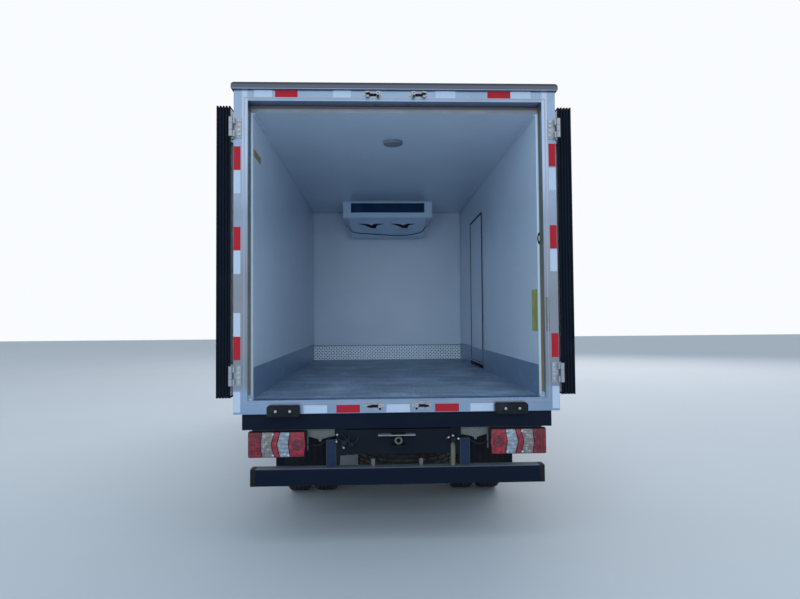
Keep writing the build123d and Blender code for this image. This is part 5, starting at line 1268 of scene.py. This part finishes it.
hose = path((0.352, 0.035, 0.60), (0.352, 0.012, 0.585), (0.352, 0.008, 0.54), (0.350, 0.010, 0.462))
done("vent_hose", bent_pipe(hose, 0.015, 14), "rubber", "beige_hose")

# Mudflaps: ribbed sheets under a bar
sheets = [block(out(side, 0.478, 0.912), ahead(0.797, 0.7995), (0.252, 0.738), 0.0008, 1) for side in SIDES]
sheets += [block(out(side, 0.50 + 0.045 * number, 0.508 + 0.045 * number), ahead(0.7955, 0.7975), (0.27, 0.68),
                 0.0006, 1) for side in SIDES for number in range(9)]
done("mudflap_sheets", sheets, "rubber", "gasket_rubber")
flap_bars = [block(out(side, 0.475, 0.850), ahead(0.792, 0.797), (0.690, 0.725), 0.002) for side in SIDES]
done("flap_bars", flap_bars, "steel", "galvanised")

# ---------------------------------------------------------------- cab
NOSE = ahead(5.63)
SCREEN_NORMAL = (0, 0.848, 0.53)


def cab_side(z, inset):
    """Half the cab's width at a height, less an inset."""
    return 0.925 - inset - max(0, z - 1.35) * 0.045 / 0.8


def on_screen(x, z, proud=0.0):
    """A place on the windscreen's slope at a height, standing proud of it."""
    return Vector((x, ahead(5.535) - (z - 1.39) * 0.625, z)) + Vector(SCREEN_NORMAL) * proud


def rounded_loop(corners, cut):
    """A closed loop of points with one more on each side of a corner, so a smooth line turns in it."""
    points = []
    for number, spot in enumerate(corners):
        before, after = Vector(corners[number - 1]), Vector(corners[(number + 1) % len(corners)])
        spot = Vector(spot)
        points += [spot + (before - spot).normalized() * cut, spot, spot + (after - spot).normalized() * cut]
    return points


corners = [on_screen(x, z, -0.004) for x, z in ((-0.800, 1.415), (-0.770, 2.050), (0.770, 2.050), (0.800, 1.415))]
done("windscreen_seal", bent_pipe(rounded_loop(corners, 0.05), 0.010, 8, closed=True),
     "rubber", "gasket_rubber", body="cab")
door_line = ((5.36, 0.62), (5.36, 1.35), (4.97, 2.04), (4.40, 2.04), (4.40, 0.83), (4.99, 0.80), (5.03, 0.62))
window_line = ((5.29, 1.395), (4.96, 1.975), (4.475, 1.975), (4.475, 1.395))
for side, word in SIDE_WORDS:
    door = "cab_door_" + word
    for name, body, line, inset, cut, radius in (("cab_door_seal_", "cab", door_line, 0.022, 0.02, 0.0072),
                                                 ("cab_window_seal_", door, window_line, 0.010, 0.035, 0.008)):
        corners = [(side * cab_side(z, inset), ahead(distance), z) for distance, z in line]
        done(name + word, bent_pipe(rounded_loop(corners, cut), radius, 8, closed=True),
             "rubber", "gasket_rubber", body=body)
    cup = block(out(side, 0.9235, 0.9265), ahead(4.45, 4.62), (1.252, 1.30), 0.0012)
    done("cab_handle_cup_" + word, cup, "black_plastic", "black_plastic", body=door)

# Mirror glass, side repeaters, the steps' treads and lips round the wheel arches
mirror = block((1.016, 1.134), ahead(5.4035, 5.407), (1.462, 1.788))
bevel(mirror, 0.024, 5, runs_ahead)
done("mirror_plates", both_sides(mirror), "glass", "mirror_glass", body="cab")
repeater = block((0.921, 0.934), ahead(5.43, 5.50), (1.075, 1.105), 0.005, 3)
done("side_repeaters", both_sides(repeater), "lamp", "lens_amber", body="cab")
treads = [block((0.735, 0.912), ahead(5.05, 5.35), (0.4695, 0.4745), 0.002)]
treads += [block((0.745 + 0.02 * number, 0.753 + 0.02 * number), ahead(5.06, 5.34), (0.473, 0.478), 0.001, 1)
           for number in range(8)]
done("step_treads", both_sides(treads), "black_plastic", "black_plastic", body="cab")
ARCH = 0.437
arch_line = [(0.9275, FRONT_AXLE + ARCH * cos(a), WHEEL + ARCH * sin(a))
             for a in (radians(17 + 9.9 * n) for n in range(13))]
done("arch_lips", both_sides(bent_pipe(arch_line, 0.009, 8)), "black_plastic", "black_plastic", body="cab")

# Front: grille, lamp bowls, panel seams, wipers
grille = [block((-0.45, 0.45), off(NOSE, -0.002, 0.002), (0.835, 1.035), 0.0008, 1)]
for number in range(5):
    z = 0.852 + number * 0.0425
    outline = ((0, 0), (0.016, 0.004), (0.016, 0.014), (0, 0.020))
    grille.append(profile(0, -0.44, 0.88, [(NOSE + y, z + rise) for y, rise in outline], 0.002))
done("front_grille", grille, "black_plastic", "black_plastic", body="cab")
done("front_grille_surround", ring_frame((-0.468, 0.468), off(NOSE, -0.003, 0.012), (0.818, 1.052), 0.02, 1, 0.004),
     "black_plastic", "grey_plastic", body="cab")
seams = [block(x, off(NOSE, -0.002, 0.0012), z, 0.0005, 1) for x, z in (
    ((-0.74, 0.74), (1.085, 1.089)), ((-0.535, -0.539), (0.672, 1.085)), ((0.535, 0.539), (0.672, 1.085)),
    ((-0.535, 0.535), (0.70, 0.704)))]
done("front_panel_seams", seams, "black_plastic", "black_plastic", body="cab")
bowls = [turned(((radius, -0.002), (radius, 0.005), (radius * 0.92, 0.007), (radius * 0.82, 0.003),
                 (radius * 0.5, 0.0015), (radius * 0.22, 0.004), (0, 0.006)), 40, (x, NOSE, z), FORWARD)
         for x, z, radius in ((0.630, 0.802, 0.050), (0.745, 0.812, 0.056))]
done("head_lamp_bowls", both_sides(bowls), "steel", "mirror_glass", body="cab")
blinker = plate([(0.775, NOSE - 0.004, 0.752), (0.83, NOSE - 0.014, 0.752), (0.83, NOSE - 0.014, 0.876),
                 (0.775, NOSE - 0.004, 0.868)], (0, 0.006, 0), 0.001)
done("front_blinkers", both_sides(blinker), "lamp", "lens_amber", body="cab")
wipers = []
for x, end in ((-0.56, -0.13), (0.08, 0.50)):
    halfway = (x + end) / 2 + 0.03
    wipers += [
        turned(((0.020, -0.01), (0.020, 0.012), (0.014, 0.018), (0, 0.019)), 20, on_screen(x, 1.405), SCREEN_NORMAL),
        bent_pipe([on_screen(x, 1.405, 0.015), on_screen(x + 0.1, 1.45, 0.024), on_screen(halfway, 1.53, 0.020)],
                  0.005, 8),
        bent_pipe([on_screen(x + 0.02, 1.450, 0.008), on_screen(halfway, 1.53, 0.010), on_screen(end, 1.60, 0.008)],
                  0.006, 8)]
done("wipers", wipers, "black_plastic", "black_plastic", body="cab")

# Bumper: its skin in bands, lower intake, fog lamps and the blank plate
BUMPER = ahead(5.68)
CORNER, HALF_WIDTH, BUMPER_END = 0.13, 0.925, ahead(5.41)
INTAKE = (0.3725, 0.4645)
FOG_LAMP = (0.62, 0.4185)


def bumper_band(low, high, recesses, rounding):
    """One level of the bumper, seen from above as a U, with recesses (half-spans and depth) in its face."""
    turn = [(HALF_WIDTH - CORNER + CORNER * sin(a), BUMPER - CORNER + CORNER * cos(a))
            for a in (radians(9 * n) for n in range(11))]
    half = []
    for near, far, deep in recesses:
        if near > 0:
            half += [(near, BUMPER), (near, BUMPER - deep)]
        half += [(far, BUMPER - deep), (far, BUMPER)]
    right = half + turn + [(HALF_WIDTH, BUMPER_END), (0.88, BUMPER_END), (0.88, BUMPER - 0.045)]
    return profile(2, low, high - low, right + [(-x, y) for x, y in reversed(right)], rounding)


skin = [bumper_band(*band) for band in (
    (0.345, 0.372, (), 0.003), (0.372, 0.465, ((0, 0.44, 0.030), (0.555, 0.685, 0.024)), 0.0008),
    (0.465, 0.484, (), 0.003), (0.484, 0.592, ((0, 0.232, 0.006),), 0.0008), (0.592, 0.612, (), 0.004))]
skin += [block(out(side, 0.345, 0.395), (ahead(5.52), BUMPER - 0.044), (0.54, 0.60), 0.003) for side in SIDES]
done("front_bumper_skin", skin, "cab_paint", "cab_enamel", "front_bumper")
intake = [block((-0.439, 0.439), off(BUMPER, -0.0305, -0.026), INTAKE, 0.0008, 1)]
intake += [block((-0.438, 0.438), off(BUMPER, -0.026, -0.004), (0.384 + 0.0235 * number, 0.390 + 0.0235 * number),
                 0.0015) for number in range(4)]
intake += [block(off(x, -0.004, 0.004), off(BUMPER, -0.026, -0.006), (0.373, 0.464), 0.0015)
           for x in (-0.22, 0, 0.22)]
for side in SIDES:
    intake += [block(out(side, 0.556, 0.684), off(BUMPER, -0.0245, -0.019), INTAKE, 0.001, 1),
               turned(((0.044, -0.002), (0.044, 0.010), (0.040, 0.013), (0.035, 0.008), (0, 0.008)), 36,
                      (side * FOG_LAMP[0], BUMPER - 0.020, FOG_LAMP[1]), FORWARD)]
done("bumper_intake", intake, "black_plastic", "black_plastic")
fog = turned(((0.036, 0.0), (0.033, 0.004), (0.020, 0.007), (0, 0.008)), 36,
             (FOG_LAMP[0], BUMPER - 0.012, FOG_LAMP[1]), FORWARD)
done("fog_lenses", both_sides(fog), "clear_lamp", "head_lens")
done("blank_plate", block((-0.222, 0.222), off(BUMPER, -0.0065, -0.0025), (0.488, 0.588), 0.001, 1),
     "white_panel", "tape_white")

# Dashboard: binnacle, vents, glove box, gear lever and dials
dash = [profile(0, -0.62, 0.38, [(ahead(distance), z) for distance, z in (
    (5.24, 1.385), (5.20, 1.470), (5.30, 1.480), (5.40, 1.398))], 0.012)]
dash += [block((x, x + 0.11), ahead(5.196, 5.206), (1.255, 1.315), 0.003) for x in (-0.80, -0.16, 0.02, 0.68)]
dash += [block((0.28, 0.66), ahead(5.200, 5.2055), (1.16, 1.235), 0.003),
         bent_pipe(path((0.02, 5.02, 1.0), (0.02, 5.04, 1.12), (0.02, 5.0, 1.26)), 0.008, 10),
         turned(((0, 0), (0.016, 0.002), (0.026, 0.018), (0.024, 0.036), (0.012, 0.046), (0, 0.048)), 24,
                (0.02, ahead(5.0), 1.255))]
done("dashboard_fittings", dash, "black_plastic", "black_plastic", body="cab")
dials = [turned(((0.036, 0.0), (0.036, 0.006), (0.031, 0.007), (0.030, 0.004), (0, 0.004)), 32,
                (x, ahead(5.216), 1.425), (0, -1, 0.4)) for x in (-0.51, -0.43, -0.35)]
done("dashboard_dials", dials, "clear_lamp", "head_lens", body="cab")

# ---------------------------------------------------------------- padded pieces
SEAT_BASE = 1.0103
CAB_REAR = 4.05
SWELL, CLOTH_FRAMES = 0.012, 12
SEAM_WIDTH, SEAM_DEPTH, SEAM_ROWS = 0.012, 0.006, (-0.09, 0.09)
BACK_LEAN = 10.5


def applied(piece, kind, **settings):
    """Give the piece a modifier and apply it."""
    modifier = piece.modifiers.new(kind.lower(), kind)
    for key, value in settings.items():
        setattr(modifier, key, value)
    bpy.ops.object.modifier_apply(modifier=modifier.name)


def swell(pad):
    """Blow the pad up as cloth, and hold each point to a small move."""
    start = [vert.co.copy() for vert in pad.data.vertices]
    cloth = pad.modifiers.new("cloth", "CLOTH")
    cloth.settings.use_pressure = True
    cloth.settings.uniform_pressure_force = 4
    cloth.settings.effector_weights.gravity = 0
    cloth.point_cache.frame_start, cloth.point_cache.frame_end = 1, CLOTH_FRAMES
    for number in range(CLOTH_FRAMES):
        bpy.context.scene.frame_set(number + 1)
    bpy.ops.object.modifier_apply(modifier=cloth.name)
    for vert, rest in zip(pad.data.vertices, start):
        move = vert.co - rest
        if move.length > SWELL:
            vert.co = rest + move * (SWELL / move.length)
    bpy.context.scene.frame_set(1)


def seat_pad(x, y, z, lean, pivot, channels):
    """A stuffed pad: swollen as cloth, with seams pressed in across its face."""
    pad = block(x, y, z, 0.022, 3)
    pad.data.transform(Matrix.Translation(pivot) @ Matrix.Rotation(radians(lean), 4, "X")
                       @ Matrix.Translation(-Vector(pivot)))
    only(pad)
    applied(pad, "REMESH", mode="VOXEL", voxel_size=0.007)
    swell(pad)
    faces = (UPWARD, FORWARD) if z[1] - z[0] < 0.2 else (BACKWARD, UPWARD)
    outward, lengthways = (Matrix.Rotation(radians(lean), 3, "X") @ Vector(way) for way in faces)
    middle = sum((vert.co for vert in pad.data.vertices), Vector()) / len(pad.data.vertices)
    for vert in pad.data.vertices:
        spot = vert.co - middle
        if spot.dot(outward) > 0:
            along = spot.dot(lengthways)
            press = max([0.0] + [1 - abs(spot.x - channel) / SEAM_WIDTH for channel in channels]
                        + [1 - abs(along - row) / SEAM_WIDTH for row in SEAM_ROWS])
            vert.co -= outward * press * SEAM_DEPTH
    applied(pad, "SUBSURF", levels=1, render_levels=1)
    return pad


pads, bases, rods = [], [], []
for word, middle, half, channels, rests in (("driver", -0.43, 0.215, (-0.14, 0.14), ((0, ""),)),
                                            ("bench", 0.29, 0.38, (-0.19, 0.0, 0.19),
                                             ((-0.19, "_left"), (0.19, "_right")))):
    pivot = Vector((middle, ahead(CAB_REAR + 0.36), SEAT_BASE + 0.02))
    pads.append(("seat_cushion_" + word, seat_pad(
        off(middle, -half, half), ahead(CAB_REAR + 0.365, CAB_REAR + 0.765), off(SEAT_BASE, 0.018, 0.128),
        3, pivot, channels)))
    pads.append(("seat_back_" + word, seat_pad(
        (middle - half + 0.01, middle + half - 0.01), ahead(CAB_REAR + 0.262, CAB_REAR + 0.345),
        off(SEAT_BASE, 0.06, 0.56), BACK_LEAN, pivot, channels)))
    for shift, ending in rests:
        pads.append(("head_rest_" + word + ending, seat_pad(
            off(middle + shift, -0.11, 0.11), ahead(CAB_REAR + 0.268, CAB_REAR + 0.335),
            off(SEAT_BASE, 0.595, 0.715), BACK_LEAN, pivot, ())))
for number, (name, pad) in enumerate(pads):
    nodes = ("seats",) if number == 0 else ()
    done(name, pad, "fabric", "seat_cloth", *nodes, body="cab", angle=180)

# Bases under the cushions, and the rods of the head rests
for middle, half, shifts in ((-0.43, 0.20, (0,)), (0.29, 0.37, (-0.19, 0.19))):
    bases.append(block((middle - half, middle + half), ahead(CAB_REAR + 0.27, CAB_REAR + 0.76),
                       off(SEAT_BASE, -0.0005, 0.016), 0.004))
    for shift in shifts:
        for side in SIDES:
            x = middle + shift + side * 0.05
            foot, head = (ahead(CAB_REAR + 0.215), SEAT_BASE + 0.53), (ahead(CAB_REAR + 0.195), SEAT_BASE + 0.64)
            rods.append(bent_pipe([(x, *foot), (x, *head)], 0.006, 8, smooth=False))
done("seat_bases", bases + rods, "grey_plastic", "grey_plastic", body="cab")

# ---------------------------------------------------------------- CAD nodes
CAD_LOOKS = {
    "load_floor_grey": "box_floor",
    "box_skin": "left_wall right_wall front_wall box_roof side_door",
    "portal_steel": "rear_frame",
    "rail_aluminium": "edge_rails side_guards",
    "door_steel": "door_hinges",
    "kick_aluminium": "kick_plates",
    "unit_shell": "evaporator",
    "lamp_grey": "ceiling_lamp",
    "outer_skin": "condenser_unit",
    "beam_black": "box_bearers",
    "frame_black": "frame_rails crossmembers propshaft rear_axle front_axle leaf_springs",
    "cast_iron": "engine knuckle_left knuckle_right",
    "tank_black": "fuel_tank",
    "black_plastic": "battery_box mudguards mirrors steering_wheel",
    "pipe_steel": "exhaust",
    "tyre": "spare_wheel front_tyre_left front_tyre_right rear_tyres_left rear_tyres_right",
    "bar_enamel": "underride_bar",
    "lens_red": "tail_lamps",
    "dock_rubber": "dock_bumpers",
    "cab_enamel": "front_bumper cab_shell cab_door_left cab_door_right",
    "cab_glass": "windscreen door_glass_left door_glass_right",
    "head_lens": "headlamps",
    "grey_plastic": "cab_floor dashboard",
    "seat_cloth": "seats",
    "leaf_skin": "rear_door_left rear_door_right",
    "gasket_rubber": "rear_door_left_gasket rear_door_right_gasket",
    "stainless": "rear_door_left_gear rear_door_right_gear side_door_gear",
    "wheel_silver": "front_rim_left front_rim_right rear_rims_left rear_rims_right",
}
node_looks = {name: look for look, names in CAD_LOOKS.items() for name in names.split()}
for name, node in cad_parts.items():
    dress(node, node_looks[name])

# ---------------------------------------------------------------- floor, sky and lamps
only()
bpy.ops.mesh.primitive_plane_add(size=80, location=(0, 0, 0))
floor = bpy.context.object
floor.name = "studio_floor"
ground = Finish("studio_ground")
cloud = ground.noise(0.6, 4)
ground.surface(ground.blend(cloud, (0.50, 0.52, 0.545), (0.56, 0.58, 0.605)), cloud * 0.1 + 0.6)
floor.data.materials.append(ground.material)

# The sky lights the truck in one tone, and shows behind it and in what mirrors it in another
world = bpy.data.worlds.new("sky")
bpy.context.scene.world = world
world.use_nodes = True
nodes = world.node_tree.nodes
light = nodes["Background"]
light.inputs["Color"].default_value = (0.66, 0.83, 1.0, 1)
light.inputs["Strength"].default_value = 0.70
backdrop = nodes.new("ShaderNodeBackground")
backdrop.inputs["Color"].default_value = (0.95, 0.97, 1.0, 1)
rays = nodes.new("ShaderNodeLightPath")
mix = nodes.new("ShaderNodeMixShader")
either, seen = nodes.new("ShaderNodeMath"), nodes.new("ShaderNodeMath")
either.operation = seen.operation = "MAXIMUM"
for start, end in ((rays.outputs["Is Camera Ray"], either.inputs[0]), (rays.outputs["Is Glossy Ray"], either.inputs[1]),
                   (either.outputs[0], seen.inputs[0]), (rays.outputs["Is Transmission Ray"], seen.inputs[1]),
                   (seen.outputs[0], mix.inputs[0]), (light.outputs[0], mix.inputs[1]),
                   (backdrop.outputs[0], mix.inputs[2]), (mix.outputs[0], nodes["World Output"].inputs[0])):
    world.node_tree.links.new(start, end)


def soft_lamp(name, place, target, size, power, colour):
    lamp = bpy.data.lights.new(name, "AREA")
    lamp.shape = "RECTANGLE"
    lamp.size, lamp.size_y = size
    lamp.energy = power
    lamp.color = colour
    holder = bpy.data.objects.new(name, lamp)
    bpy.context.scene.collection.objects.link(holder)
    aim = Vector(target) - Vector(place)
    holder.visible_glossy = False
    holder.matrix_world = Matrix.Translation(place) @ aim.to_track_quat("-Z", "Y").to_matrix().to_4x4()


soft_lamp("lamp_behind", (-2.5, -12.5, 4.0), (0, 0, 1.7), (11, 6), 560, (0.70, 0.86, 1.0))
soft_lamp("lamp_front", (6.0, 12.0, 9.5), (0, 1, 1.2), (14, 9), 1100, (1.0, 0.985, 0.96))
soft_lamp("lamp_above", (0, 0, 9.5), (0, 0, 0), (8, 8), 205, (0.92, 0.96, 1.0))

bpy.context.scene.view_settings.view_transform = "Standard"
